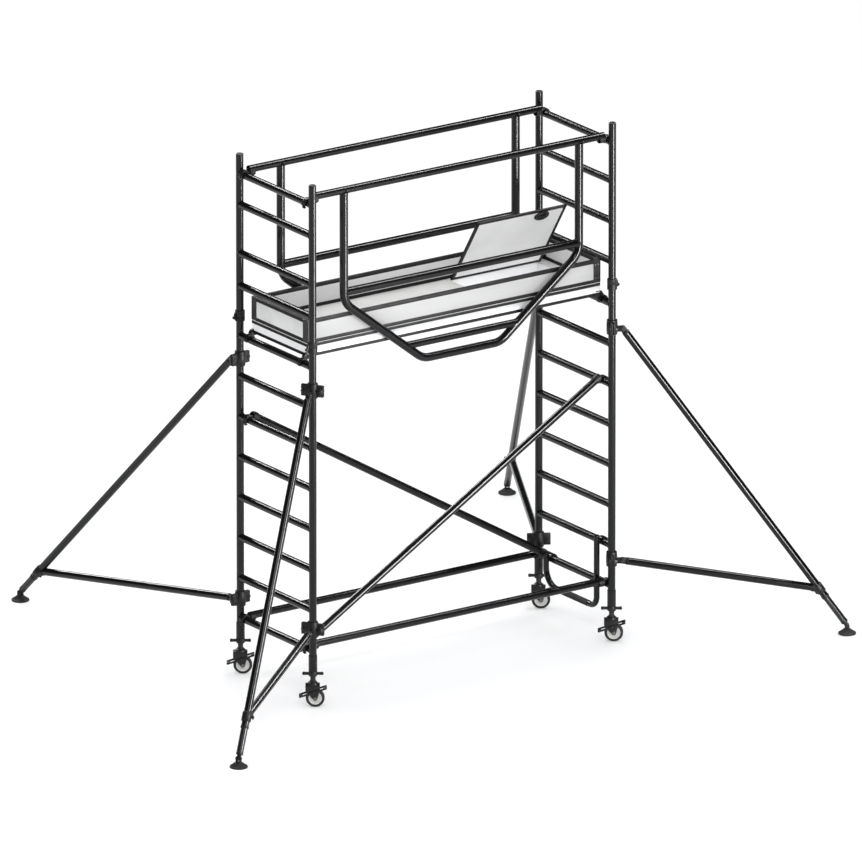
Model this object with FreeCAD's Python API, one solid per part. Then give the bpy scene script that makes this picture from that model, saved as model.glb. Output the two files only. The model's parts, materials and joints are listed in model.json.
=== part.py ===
"""Mobile tower scaffold: two-lift aluminium tower on braked castors.

Millimetres, +Z up, +X along the bay, +Y across the tower towards its back.
The tower is worked out about its own centre and then moved, so that the
origin lies on the floor at the centre of the rectangle that the tower and
its four stabiliser feet stand in.
"""
import FreeCAD
import Part
import math
import os

V = FreeCAD.Vector
UP = V(0, 0, 1)
ALONG_X = V(1, 0, 0)
ALONG_Y = V(0, 1, 0)

# Tower: tube, bay and frames
TUBE_R = 25.4
TUBE_WALL = 2.0
BAY_LENGTH = 2405.0
FRAME_WIDTH = 844.0
RUNG_PITCH = 280.0
FIRST_RUNG_RISE = 142.0
POST_BOTTOM_Z = 247.0
BASE_RUNGS = 8
UPPER_HEIGHT = 1120.0
TOP_RUNG_RISE = 982.0
UPPER_RUNG_RISES = {-1: (208.0, 432.0, 768.0, TOP_RUNG_RISE), 1: (156.0, 436.0, 716.0, TOP_RUNG_RISE)}
UPPER_RUNGS = len(UPPER_RUNG_RISES[1])
RUNG_EASE = 0.05
SPIGOT_LENGTH = 300.0
SPIGOT_CLEARANCE = 0.3
SPIGOT_WALL = 3.0
FOOT_SLEEVE_WALL = 3.6
FOOT_SLEEVE_GAP = 6.0
CAP_HEIGHT = 10.0
CAP_PLUG_DEPTH = 30.0
CLIP_HEIGHT = 74.0
CLIP_WALL = 8.0
CLIP_LEVER = 28.0

# Claws that hook braces, guardrails, platform and step over the rungs
CLAW_WALL = 11.4
CLAW_WIDTH = 40.0
CLAW_CLEARANCE = 0.2
CLAW_DROP = 14.0
CLAW_SPACING = 47.0
CLAW_POST_GAP = 11.0

# Braces
LEVEL_BRACE_RISE = 21.0
DIAGONAL_LOW_RISE = 12.0
DIAGONAL_HIGH_RISE = 46.0
DIAGONAL_TOP_RUNG = 5

# Guardrail frames
RAIL_R = 25.4
HOOP_R = 28.5
HOOP_WALL = 2.0
RAIL_RISE = 36.0
HOOP_HALF_TOP = 943.0
HOOP_HALF_BOTTOM = 310.0
HOOP_CENTRE_X = 30.0
HOOP_SHOULDER_Z = 2727.0
HOOP_BOTTOM_Z = 2228.0
HOOP_BEND_R = 150.0
MID_RAIL_Z = 2800.0
LOW_BAR_RISE = 112.0

# Platform, toe boards and trapdoor
PLATFORM_END_GAP = 3.1
PLATFORM_WIDTH = 650.0
BEAM_WIDTH = 30.0
BEAM_HEIGHT = 80.0
BEAM_WALL = 2.5
BEAM_RUNG_GAP = 13.6
DECK_THICKNESS = 12.0
TOE_BOARD_HEIGHT = 160.0
TOE_BOARD_THICKNESS = 20.0
BRACKET_WIDTH = 55.0
BRACKET_WALL = 2.0
TRIMMER_WIDTH = 40.0
TRIMMER_HEIGHT = 40.0
HATCH_X0 = 380.0
HATCH_X1 = 1110.0
HATCH_Y0 = -290.0
HATCH_Y1 = 285.0
HATCH_GAP = 4.0
HATCH_LIFT = 0.5
HATCH_REST_DEG = 57.0
HINGE_PIN_R = 4.0
HINGE_KNUCKLE_R = 7.0
HINGE_RISE = 7.5
HINGE_LENGTH = 90.0
HINGE_FIT = 0.08
LATCH_X = 917.0
LATCH_FROM_EDGE = 55.0
LATCH_LENGTH = 115.0
LATCH_WIDTH = 80.0
LATCH_DEPTH = 12.0
LATCH_SHAFT_R = 8.0
LATCH_KNOB_R = 24.0
LATCH_GAP = 0.4

# Access step bow
STEP_R = 20.0
STEP_WALL = 2.0
STEP_FRONT_Y = -315.0
STEP_BACK_Y = 270.0
STEP_BOTTOM_Z = 218.0
STEP_FRONT_RUNG = 1
STEP_BACK_RUNG = 0
STEP_TOP_RISE = 52.0
STEP_BEND_FRONT = 70.0
STEP_BEND_BACK = 120.0
STEP_RUNG_GAP = 0.5

# Castors
WHEEL_R = 62.5
WHEEL_WIDTH = 34.0
TYRE_DEPTH = 18.5
HUB_CORE_R = 15.0
HUB_WEB = 12.0
HUB_RIM = 6.0
HUB_SIDE_GAP = 1.0
AXLE_R = 6.0
FIT = 0.08
FACE_GAP = 0.3
CASTOR_TRAIL = 15.0
CASTOR_HEADING_DEG = -35.0
FORK_HALF_INSIDE = 21.0
FORK_WALL = 4.0
FORK_HEAD_Z = 146.0
FORK_PLATE = 12.0
FORK_HEAD_TOP_Z = 172.0
FORK_HEAD_R = 34.0
FORK_FRONT_U = -50.0
FORK_BACK_U = 46.0
AXLE_HEAD_R = 10.0
AXLE_HEAD = 7.0
KING_PIN_R = 8.0
KING_HEAD_R = 12.0
KING_HEAD = 10.0
STEM_R = 19.0
STEM_WALL = 5.0
STEM_COLLAR_R = 22.0
STEM_COLLAR = 10.0
STEM_LENGTH = 530.0
STEM_RUN = 0.4
NUT_HEIGHT = 34.0
NUT_R = 29.0
NUT_BOSS_HEIGHT = 28.0
NUT_BOSS_GAP = 0.5
NUT_WING_R = 12.0
NUT_WING_SPAN = 146.0
LEVER_PIVOT_Z = 103.0
LEVER_TILT_DEG = 18.8
LEVER_HALF_LENGTH = 97.0
LEVER_ARM_HEIGHT = 14.0
LEVER_ARM_WALL = 4.0
LEVER_GAP = 2.0
LEVER_PIVOT_R = 5.0
LEVER_HEAD_R = 9.0
LEVER_HEAD = 4.0
LEVER_TREAD = 25.0
LEVER_TREAD_THICKNESS = 5.0

# Stabilisers
STABILISER_AZIMUTH = {"lb": 99.1, "lf": 214.25, "rf": -29.2, "rb": 60.0}
STABILISER_REACH = {"lb": 2128.0, "lf": 1348.0, "rf": 1572.0, "rb": 2465.0}
CLAMP_TOP_DROP = 297.0
CLAMP_LOW_Z = {"lb": 525.0, "lf": 540.0, "rf": 576.0, "rb": 485.0}
CLAMP_RUN = 0.4
CLAMP_WALL = 10.0
CLAMP_HEIGHT = 100.0
CLAMP_SPAN = 158.0
CLAMP_EAR_HEIGHT = 80.0
CLAMP_EAR_DEPTH = 26.0
CLAMP_BOLT_R = 6.0
CLAMP_LUG = 72.0
LUG_DROP = 15.0
LUG_HALF = 8.0
LUG_EYE_R = 20.0
LUG_PIN_R = 8.0
FORK_EAR = 6.0
END_PLUG_START = 26.0
END_PLUG = 34.0
COUPLER_SHARE = {"lb": 0.91, "lf": 0.885, "rf": 0.875, "rb": 0.86}
COUPLER_WALL = 7.0
COUPLER_LENGTH = 64.0
COUPLER_REACH = 52.0
SLEEVE_PAST_COUPLER = 80.0
INNER_CLEARANCE = 0.4
INNER_WALL = 2.5
INNER_OVERLAP = 560.0
FOOT_PIVOT_Z = 60.0
FOOT_R = 60.0
FOOT_RIM = 10.0
FOOT_NECK_R = 26.0
FOOT_NECK_Z = 34.0
FOOT_EAR_R = 15.0
FOOT_LUG_HALF = 10.0
FOOT_PIN_R = 6.0

CORNERS = {"lb": (-1, 1), "lf": (-1, -1), "rf": (1, -1), "rb": (1, 1)}

# Worked-out sizes
HALF_BAY = BAY_LENGTH / 2
HALF_WIDTH = FRAME_WIDTH / 2
PLATFORM_LENGTH = BAY_LENGTH - 2 * (TUBE_R + PLATFORM_END_GAP)
POST_BORE_R = TUBE_R - TUBE_WALL
BASE_TOP_Z = POST_BOTTOM_Z + BASE_RUNGS * RUNG_PITCH
TOWER_TOP_Z = BASE_TOP_Z + UPPER_HEIGHT
POST_TOP_Z = TOWER_TOP_Z - CAP_HEIGHT
CLAW_R = TUBE_R + CLAW_WALL
CLAW_Y = HALF_WIDTH - TUBE_R - CLAW_POST_GAP - CLAW_WIDTH / 2
DIAGONAL_Y = CLAW_Y - CLAW_SPACING
BEAM_Z = POST_BOTTOM_Z + FIRST_RUNG_RISE + (BASE_RUNGS - 1) * RUNG_PITCH + TUBE_R + BEAM_RUNG_GAP
DECK_Z = BEAM_Z + BEAM_HEIGHT
DECK_TOP_Z = DECK_Z + DECK_THICKNESS
HINGE_Y = HATCH_Y1 - HATCH_GAP / 2
HINGE_Z = DECK_TOP_Z + HINGE_RISE
NUT_TOP_Z = POST_BOTTOM_Z - FACE_GAP


def rung_z(index, side=1):
    """Height of a rung's axis, counted from the lowest rung of the tower."""
    if index >= BASE_RUNGS:
        return BASE_TOP_Z + UPPER_RUNG_RISES[side][index - BASE_RUNGS]
    return POST_BOTTOM_Z + FIRST_RUNG_RISE + index * RUNG_PITCH


def post_point(corner, z):
    side, face = CORNERS[corner]
    return V(side * HALF_BAY, face * HALF_WIDTH, z)


def foot_point(corner):
    angle = math.radians(STABILISER_AZIMUTH[corner])
    reach = STABILISER_REACH[corner]
    return post_point(corner, 0) + V(reach * math.cos(angle), reach * math.sin(angle), 0)


FEET = [foot_point(corner) for corner in CORNERS]
ORIGIN_SHIFT = V(
    -(min(p.x for p in FEET) + max(p.x for p in FEET)) / 2,
    -(min(p.y for p in FEET) + max(p.y for p in FEET)) / 2,
    0,
)


# Plain shapes

def rod(start, end, radius):
    return Part.makeCylinder(radius, (end - start).Length, start, end - start)


def tube(start, end, radius, wall):
    return rod(start, end, radius).cut(rod(start, end, radius - wall))


def block(x0, x1, y0, y1, z0, z1):
    return Part.makeBox(x1 - x0, y1 - y0, z1 - z0, V(x0, y0, z0))


def joined(first, *others):
    return first.fuse(list(others)).removeSplitter()


def largest(shape):
    return max(shape.Solids, key=lambda solid: solid.Volume)


def extruded(points, vector):
    """A flat outline, given by its corners, pushed along a vector."""
    return Part.Face(Part.makePolygon(points + [points[0]])).extrude(vector)


def elbow(start, corner, end, radius, wall, bend):
    """A tube bend that is tangent to two runs meeting at corner."""
    into = (corner - start).normalize()
    away = (end - corner).normalize()
    turn = into.getAngle(away)
    first = corner - into * (bend * math.tan(turn / 2))
    axis = into.cross(away).normalize()
    centre = first + axis.cross(into) * bend
    outer = Part.Face(Part.Wire(Part.makeCircle(radius, first, into)))
    inner = Part.Face(Part.Wire(Part.makeCircle(radius - wall, first, into)))
    return outer.cut(inner).Faces[0].revolve(centre, axis, math.degrees(turn))


def bent_tube(points, bends, radius, wall):
    """Straight runs and bends, one solid each, along a line of points."""
    starts = [points[0]]
    ends = []
    bent = []
    for before, corner, after, bend in zip(points, points[1:], points[2:], bends):
        into = (corner - before).normalize()
        away = (after - corner).normalize()
        reach = bend * math.tan(into.getAngle(away) / 2)
        ends.append(corner - into * reach)
        starts.append(corner + away * reach)
        bent.append(elbow(before, corner, after, radius, wall, bend))
    ends.append(points[-1])
    runs = [tube(start, end, radius, wall) for start, end in zip(starts, ends)]
    return runs, bent


# Frames

def frame(side, z0, z1, first_rung, rungs):
    """One ladder frame: two posts and the rungs coped into them."""
    posts = []
    cutters = []
    for face in (-1, 1):
        low = V(side * HALF_BAY, face * HALF_WIDTH, z0)
        high = V(side * HALF_BAY, face * HALF_WIDTH, z1)
        posts.append(tube(low, high, TUBE_R, TUBE_WALL))
        cutters.append(rod(low, high, TUBE_R))
    bars = []
    for index in range(first_rung, first_rung + rungs):
        left = V(side * HALF_BAY, -HALF_WIDTH, rung_z(index, side))
        right = V(side * HALF_BAY, HALF_WIDTH, rung_z(index, side))
        bars.append(largest(tube(left, right, TUBE_R - RUNG_EASE, TUBE_WALL).cut(cutters)))
    return posts + bars


def base_frame(side):
    pieces = frame(side, POST_BOTTOM_Z, BASE_TOP_Z, 0, BASE_RUNGS)
    spigot_r = POST_BORE_R - SPIGOT_CLEARANCE
    sleeve_top = rung_z(0) - TUBE_R - FOOT_SLEEVE_GAP
    for face in (-1, 1):
        axis_x = side * HALF_BAY
        axis_y = face * HALF_WIDTH
        low = V(axis_x, axis_y, BASE_TOP_Z - SPIGOT_LENGTH / 2)
        high = V(axis_x, axis_y, BASE_TOP_Z + SPIGOT_LENGTH / 2)
        pieces.append(tube(low, high, spigot_r, SPIGOT_WALL))
        bottom = V(axis_x, axis_y, POST_BOTTOM_Z)
        top = V(axis_x, axis_y, sleeve_top)
        pieces.append(tube(bottom, top, TUBE_R + FOOT_SLEEVE_WALL, FOOT_SLEEVE_WALL))
    return pieces


def upper_frame(side):
    return frame(side, BASE_TOP_Z, POST_TOP_Z, BASE_RUNGS, UPPER_RUNGS)


def frame_joint_clips():
    """A split collar and its lever over each joint between the frames."""
    clips = []
    for corner, (side, face) in CORNERS.items():
        low = post_point(corner, BASE_TOP_Z - CLIP_HEIGHT / 2)
        high = post_point(corner, BASE_TOP_Z + CLIP_HEIGHT / 2)
        collar = tube(low, high, TUBE_R + CLIP_WALL, CLIP_WALL)
        reach = TUBE_R + CLIP_WALL / 2
        lever = block(reach, reach + CLIP_LEVER, -CLIP_WALL, CLIP_WALL,
                      -CLIP_HEIGHT / 3, CLIP_HEIGHT / 3)
        lever = lever.makeFillet(CLIP_WALL / 2, lever.Edges)
        if side < 0:
            lever.rotate(V(0, 0, 0), UP, 180)
        lever.translate(post_point(corner, BASE_TOP_Z))
        clips.append(joined(collar, lever))
    return clips


def post_caps():
    caps = []
    for corner in CORNERS:
        base = post_point(corner, POST_TOP_Z)
        dome = Part.makeCylinder(TUBE_R, CAP_HEIGHT, base)
        dome = dome.makeFillet(CAP_HEIGHT * 0.7, [dome.Edges[0]])
        plug = Part.makeCylinder(POST_BORE_R - SPIGOT_CLEARANCE, CAP_PLUG_DEPTH,
                                 base - UP * CAP_PLUG_DEPTH)
        caps.append(joined(dome, plug))
    return caps


# Claws and braces

def claw(x, y, z):
    """A hook over a rung, open below."""
    half = CLAW_WIDTH / 2
    bore_r = TUBE_R + CLAW_CLEARANCE
    start = V(x, y - half, z)
    end = V(x, y + half, z)
    shell = rod(start, end, CLAW_R).cut(rod(start, end, bore_r))
    mouth = block(x - bore_r, x + bore_r, y - half, y + half, z - CLAW_R, z)
    below = block(x - CLAW_R, x + CLAW_R, y - half, y + half, z - CLAW_R, z - CLAW_DROP)
    return largest(shell.cut([mouth, below]))


def claw_core(x, y, z):
    half = CLAW_WIDTH
    return rod(V(x, y - half, z), V(x, y + half, z), CLAW_R)


def braces():
    """Two level braces and two diagonals, each coped to its claws."""
    low = rung_z(0)
    high = rung_z(DIAGONAL_TOP_RUNG)
    bars = []
    for face in (-1, 1):
        y = face * CLAW_Y
        cores = [claw_core(side * HALF_BAY, y, low) for side in (-1, 1)]
        left = V(-HALF_BAY, y, low + LEVEL_BRACE_RISE)
        right = V(HALF_BAY, y, low + LEVEL_BRACE_RISE)
        bars.append(largest(tube(left, right, TUBE_R, TUBE_WALL).cut(cores)))
        y = face * DIAGONAL_Y
        foot = V(face * HALF_BAY, y, low + DIAGONAL_LOW_RISE)
        head = V(-face * HALF_BAY, y, high + DIAGONAL_HIGH_RISE)
        cores = [claw_core(foot.x, y, low), claw_core(head.x, y, high)]
        bars.append(largest(tube(foot, head, TUBE_R, TUBE_WALL).cut(cores)))
    return bars


def brace_claws():
    claws = []
    rail_rung = rung_z(BASE_RUNGS + UPPER_RUNGS - 1)
    for face in (-1, 1):
        for side in (-1, 1):
            claws.append(claw(side * HALF_BAY, face * CLAW_Y, rung_z(0)))
            claws.append(claw(side * HALF_BAY, face * CLAW_Y, rail_rung))
        claws.append(claw(face * HALF_BAY, face * DIAGONAL_Y, rung_z(0)))
        claws.append(claw(-face * HALF_BAY, face * DIAGONAL_Y, rung_z(DIAGONAL_TOP_RUNG)))
    return claws


def guardrail(face):
    """Top rail with a bent hoop, a middle rail and a low bar below it."""
    y = face * CLAW_Y
    rung = rung_z(BASE_RUNGS + UPPER_RUNGS - 1)
    rail_z = rung + RAIL_RISE
    cores = [claw_core(side * HALF_BAY, y, rung) for side in (-1, 1)]
    rail_line = (V(-HALF_BAY, y, rail_z), V(HALF_BAY, y, rail_z))
    rail = largest(tube(*rail_line, RAIL_R, TUBE_WALL).cut(cores))
    left = HOOP_CENTRE_X - HOOP_HALF_TOP
    right = HOOP_CENTRE_X + HOOP_HALF_TOP
    points = [
        V(left, y, rail_z),
        V(left, y, HOOP_SHOULDER_Z),
        V(HOOP_CENTRE_X - HOOP_HALF_BOTTOM, y, HOOP_BOTTOM_Z),
        V(HOOP_CENTRE_X + HOOP_HALF_BOTTOM, y, HOOP_BOTTOM_Z),
        V(right, y, HOOP_SHOULDER_Z),
        V(right, y, rail_z),
    ]
    runs, bends = bent_tube(points, [HOOP_BEND_R] * 4, HOOP_R, HOOP_WALL)
    rail_rod = rod(*rail_line, RAIL_R)
    runs[0] = largest(runs[0].cut(rail_rod))
    runs[-1] = largest(runs[-1].cut(rail_rod))
    uprights = [rod(points[0], points[1], HOOP_R), rod(points[4], points[5], HOOP_R)]
    middle = tube(V(left, y, MID_RAIL_Z), V(right, y, MID_RAIL_Z), HOOP_R, HOOP_WALL)
    slopes = [rod(points[1], points[2], HOOP_R), rod(points[3], points[4], HOOP_R)]
    low_z = HOOP_BOTTOM_Z + LOW_BAR_RISE
    share = LOW_BAR_RISE / (HOOP_SHOULDER_Z - HOOP_BOTTOM_Z)
    reach = HOOP_HALF_BOTTOM + (HOOP_HALF_TOP - HOOP_HALF_BOTTOM) * share
    low = tube(V(HOOP_CENTRE_X - reach, y, low_z), V(HOOP_CENTRE_X + reach, y, low_z),
               RAIL_R, TUBE_WALL)
    return [rail, largest(middle.cut(uprights)), largest(low.cut(slopes))] + runs + bends


def access_step():
    """A bent bow that hangs from two rungs inside the right frame."""
    x = HALF_BAY - TUBE_R - STEP_RUNG_GAP - STEP_R
    front_rung = rung_z(STEP_FRONT_RUNG)
    back_rung = rung_z(STEP_BACK_RUNG)
    points = [
        V(x, STEP_FRONT_Y, front_rung + STEP_TOP_RISE),
        V(x, STEP_FRONT_Y, STEP_BOTTOM_Z),
        V(x, STEP_BACK_Y, STEP_BOTTOM_Z),
        V(x, STEP_BACK_Y, back_rung + STEP_TOP_RISE),
    ]
    bends = [STEP_BEND_FRONT, STEP_BEND_BACK]
    runs, bent = bent_tube(points, bends, STEP_R, STEP_WALL)
    runs[0] = largest(runs[0].cut(claw_core(HALF_BAY, STEP_FRONT_Y, front_rung)))
    runs[-1] = largest(runs[-1].cut(claw_core(HALF_BAY, STEP_BACK_Y, back_rung)))
    hooks = [
        claw(HALF_BAY, STEP_FRONT_Y, front_rung),
        claw(HALF_BAY, STEP_BACK_Y, back_rung),
    ]
    return runs + bent + hooks


# Platform

def box_beam(x0, x1, y0, y1, z0, z1, along_x):
    """A hollow rectangular section, open at its two ends."""
    wall = BEAM_WALL
    outer = block(x0, x1, y0, y1, z0, z1)
    if along_x:
        return outer.cut(block(x0, x1, y0 + wall, y1 - wall, z0 + wall, z1 - wall))
    return outer.cut(block(x0 + wall, x1 - wall, y0, y1, z0 + wall, z1 - wall))


def platform_frame():
    half_l = PLATFORM_LENGTH / 2
    half_w = PLATFORM_WIDTH / 2
    inner = half_w - BEAM_WIDTH
    low_rung = rung_z(BASE_RUNGS - 1)
    pieces = []
    for face in (-1, 1):
        y0, y1 = sorted((face * inner, face * half_w))
        pieces.append(box_beam(-half_l, half_l, y0, y1, BEAM_Z, DECK_Z, True))
        for side in (-1, 1):
            y = face * (half_w - BEAM_WIDTH / 2)
            hook = claw(side * HALF_BAY, y, low_rung)
            x0, x1 = sorted((side * half_l, side * HALF_BAY))
            tongue = block(x0, x1, y0, y1, low_rung + TUBE_R + 2, BEAM_Z + BEAM_HEIGHT / 2)
            pieces.append(joined(hook, tongue))
    for side in (-1, 1):
        x0, x1 = sorted((side * (half_l - BEAM_WIDTH), side * half_l))
        pieces.append(box_beam(x0, x1, -inner, inner, BEAM_Z, DECK_Z, False))
    for x in (-half_l / 2, -TRIMMER_WIDTH / 2):
        pieces.append(box_beam(x, x + TRIMMER_WIDTH, -inner, inner,
                               DECK_Z - TRIMMER_HEIGHT, DECK_Z, False))
    ledge = HATCH_GAP + TRIMMER_WIDTH / 6
    for x in (HATCH_X0 + ledge - TRIMMER_WIDTH, HATCH_X1 - ledge):
        x_end = min(x + TRIMMER_WIDTH, half_l - BEAM_WIDTH)
        pieces.append(box_beam(x, x_end, -inner, inner,
                               DECK_Z - TRIMMER_HEIGHT, DECK_Z, False))
    return pieces


def knuckle(x, length, radius, bore):
    start = V(x, HINGE_Y, HINGE_Z)
    end = V(x + length, HINGE_Y, HINGE_Z)
    return tube(start, end, radius, radius - bore)


def hinge_places():
    return (HATCH_X0 + HINGE_LENGTH, HATCH_X1 - 2 * HINGE_LENGTH)


def deck_panel():
    """The boarded deck with its hatch opening, and the fixed hinge leaves."""
    half_l = PLATFORM_LENGTH / 2
    half_w = PLATFORM_WIDTH / 2
    board = block(-half_l, half_l, -half_w, half_w, DECK_Z, DECK_TOP_Z)
    board = board.cut(block(HATCH_X0, HATCH_X1, HATCH_Y0, HATCH_Y1, DECK_Z, DECK_TOP_Z))
    third = HINGE_LENGTH / 3
    leaf_y1 = half_w - TOE_BOARD_THICKNESS - 1
    pieces = [board]
    for x in hinge_places():
        pin = rod(V(x, HINGE_Y, HINGE_Z), V(x + HINGE_LENGTH, HINGE_Y, HINGE_Z), HINGE_PIN_R)
        for start in (x, x + 2 * third):
            leaf = block(start, start + third, HINGE_Y, leaf_y1, DECK_TOP_Z, DECK_TOP_Z + 2)
            pin = joined(pin, knuckle(start, third, HINGE_KNUCKLE_R, HINGE_PIN_R), leaf)
        pieces.append(pin)
    return pieces


def opened(shape):
    """Turn a piece of the closed hatch to where it stands open."""
    turned = shape.copy()
    turned.rotate(V(0, HINGE_Y, HINGE_Z), ALONG_X, -HATCH_REST_DEG)
    return turned


def trapdoor():
    gap = HATCH_GAP
    x0, x1 = HATCH_X0 + gap, HATCH_X1 - gap
    y0, y1 = HATCH_Y0 + gap, HATCH_Y1 - gap
    z0 = DECK_Z + HATCH_LIFT
    panel = block(x0, x1, y0, y1, z0, DECK_TOP_Z)
    bore = Part.makeCylinder(LATCH_SHAFT_R + FIT, 3 * DECK_THICKNESS,
                             V(LATCH_X, y0 + LATCH_FROM_EDGE, z0 - DECK_THICKNESS))
    pieces = [panel.cut(bore)]
    third = HINGE_LENGTH / 3
    for x in hinge_places():
        start = x + third + FACE_GAP
        length = third - 2 * FACE_GAP
        eye = knuckle(start, length, HINGE_KNUCKLE_R, HINGE_PIN_R + HINGE_FIT)
        leaf = block(start, start + length, y1 - HINGE_LENGTH / 2, HINGE_Y,
                     DECK_TOP_Z, DECK_TOP_Z + 2)
        leaf = leaf.cut(rod(V(x, HINGE_Y, HINGE_Z), V(x + HINGE_LENGTH, HINGE_Y, HINGE_Z),
                            HINGE_PIN_R + HINGE_FIT))
        pieces.append(joined(eye, leaf))
    return [opened(piece) for piece in pieces]


def trapdoor_latch():
    """An oval turn handle below the panel, its shaft and the knob on top."""
    centre = V(LATCH_X, HATCH_Y0 + HATCH_GAP + LATCH_FROM_EDGE, 0)
    under = DECK_Z + HATCH_LIFT - LATCH_GAP
    oval = Part.Ellipse(centre, LATCH_LENGTH / 2, LATCH_WIDTH / 2).toShape()
    oval.translate(UP * (under - LATCH_DEPTH))
    handle = Part.Face(Part.Wire(oval)).extrude(UP * LATCH_DEPTH)
    top = DECK_TOP_Z + LATCH_GAP
    shaft = Part.makeCylinder(LATCH_SHAFT_R, top - under + 2,
                              V(centre.x, centre.y, under - 1))
    knob = Part.makeCylinder(LATCH_KNOB_R, LATCH_SHAFT_R, V(centre.x, centre.y, top))
    return [opened(joined(handle, shaft, knob))]


def toe_boards():
    """Four boards on edge round the deck and the clips that hold the corners."""
    half_l = PLATFORM_LENGTH / 2
    half_w = PLATFORM_WIDTH / 2
    thick = TOE_BOARD_THICKNESS
    low, high = DECK_TOP_Z, DECK_TOP_Z + TOE_BOARD_HEIGHT
    pieces = []
    for face in (-1, 1):
        y0, y1 = sorted((face * (half_w - thick), face * half_w))
        pieces.append(block(-half_l, half_l, y0, y1, low, high))
    for side in (-1, 1):
        x0, x1 = sorted((side * (half_l - thick), side * half_l))
        pieces.append(block(x0, x1, thick - half_w, half_w - thick, low, high))
    wall = BRACKET_WALL
    for side, face in CORNERS.values():
        x0, x1 = sorted((side * (half_l - BRACKET_WIDTH), side * half_l))
        y0, y1 = sorted((face * half_w, face * (half_w + wall)))
        pieces.append(block(x0, x1, y0, y1, low, high))
    return pieces


# Castors, built with the wheel trailing along +X and then turned

def wheel_section(points):
    """A solid of revolution about the axle, from radius and side points."""
    outline = [V(CASTOR_TRAIL + 0.0, side, WHEEL_R + radius) for radius, side in points]
    face = Part.Face(Part.makePolygon(outline + [outline[0]]))
    return face.revolve(V(CASTOR_TRAIL, 0, WHEEL_R), ALONG_Y, 360)


def castor_tyre():
    half = WHEEL_WIDTH / 2
    inner = WHEEL_R - TYRE_DEPTH
    shoulder = WHEEL_R - TYRE_DEPTH / 3
    crown = half * 0.6
    return [wheel_section([(inner, -half), (shoulder, -half), (WHEEL_R, -crown),
                           (WHEEL_R, crown), (shoulder, half), (inner, half)])]


def castor_hub():
    rim_r = WHEEL_R - TYRE_DEPTH
    bore = AXLE_R + FIT
    core = FORK_HALF_INSIDE - HUB_SIDE_GAP
    web = HUB_WEB / 2
    rim = WHEEL_WIDTH / 2 - 1
    half = [(bore, core), (HUB_CORE_R, core), (HUB_CORE_R, web), (rim_r - HUB_RIM, web),
            (rim_r - HUB_RIM, rim), (rim_r, rim)]
    mirrored = [(radius, -side) for radius, side in reversed(half)]
    return [wheel_section(half + mirrored)]


def castor_fork():
    """Pressed housing with two cheeks, the axle bolt and the lever pivots."""
    outside = FORK_HALF_INSIDE + FORK_WALL
    plate_top = FORK_HEAD_Z + FORK_PLATE
    body = block(FORK_FRONT_U, FORK_BACK_U, -outside, outside, FORK_HEAD_Z, plate_top)
    dome = Part.makeCylinder(FORK_HEAD_R, FORK_HEAD_TOP_Z - plate_top, V(0, 0, plate_top))
    dome = dome.makeFillet(FORK_PLATE / 2, [dome.Edges[0]])
    solids = [dome]
    boss = WHEEL_R / 4
    for face in (-1, 1):
        start = face * FORK_HALF_INSIDE
        outline = [
            V(FORK_FRONT_U, start, plate_top),
            V(FORK_FRONT_U, start, FORK_HEAD_Z - 2 * FORK_HEAD_R + 36),
            V(CASTOR_TRAIL - boss, start, WHEEL_R - boss / 2),
            V(CASTOR_TRAIL + boss, start, WHEEL_R - boss / 2),
            V(FORK_BACK_U, start, FORK_HEAD_Z - FORK_HEAD_R / 2),
            V(FORK_BACK_U, start, plate_top),
        ]
        across = V(0, face * FORK_WALL, 0)
        cheek = extruded(outline, across)
        eye = rod(V(CASTOR_TRAIL, start, WHEEL_R), V(CASTOR_TRAIL, start, WHEEL_R) + across, boss)
        pivot_out = outside + LEVER_GAP + LEVER_ARM_WALL + FACE_GAP
        pivot = rod(V(0, start, LEVER_PIVOT_Z), V(0, face * pivot_out, LEVER_PIVOT_Z),
                    LEVER_PIVOT_R)
        head = rod(V(0, face * pivot_out, LEVER_PIVOT_Z),
                   V(0, face * (pivot_out + LEVER_HEAD), LEVER_PIVOT_Z), LEVER_HEAD_R)
        solids += [cheek, eye, pivot, head]
    body = joined(body, *solids)
    axle = rod(V(CASTOR_TRAIL, -outside, WHEEL_R), V(CASTOR_TRAIL, outside, WHEEL_R), AXLE_R)
    king = Part.makeCylinder(KING_PIN_R + FIT, FORK_HEAD_TOP_Z, V(0, 0, FORK_HEAD_Z - 1))
    housing = largest(body.cut([axle, king]))
    bolt = axle
    for face in (-1, 1):
        start = V(CASTOR_TRAIL, face * outside, WHEEL_R)
        bolt = joined(bolt, rod(start, start + V(0, face * AXLE_HEAD, 0), AXLE_HEAD_R))
    return [housing, bolt]


def brake_lever():
    """A rocking lever round the fork with a tread at each end."""
    inner = FORK_HALF_INSIDE + FORK_WALL + LEVER_GAP
    outer = inner + LEVER_ARM_WALL
    half = LEVER_HALF_LENGTH
    arm = LEVER_ARM_HEIGHT / 2
    tread = LEVER_TREAD_THICKNESS / 2
    solids = []
    for face in (-1, 1):
        y0, y1 = sorted((face * inner, face * outer))
        solids.append(block(-half, half, y0, y1, -arm, arm))
    solids.append(block(-half, LEVER_TREAD - half, -inner, inner, -tread, tread))
    solids.append(block(half - LEVER_TREAD, half, -inner, inner, -tread, tread))
    lever = joined(*solids)
    lever = largest(lever.cut(rod(V(0, -outer, 0), V(0, outer, 0), LEVER_PIVOT_R + FIT)))
    lever.rotate(V(0, 0, 0), ALONG_Y, -LEVER_TILT_DEG)
    lever.translate(V(0, 0, LEVER_PIVOT_Z))
    return [lever]


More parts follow.
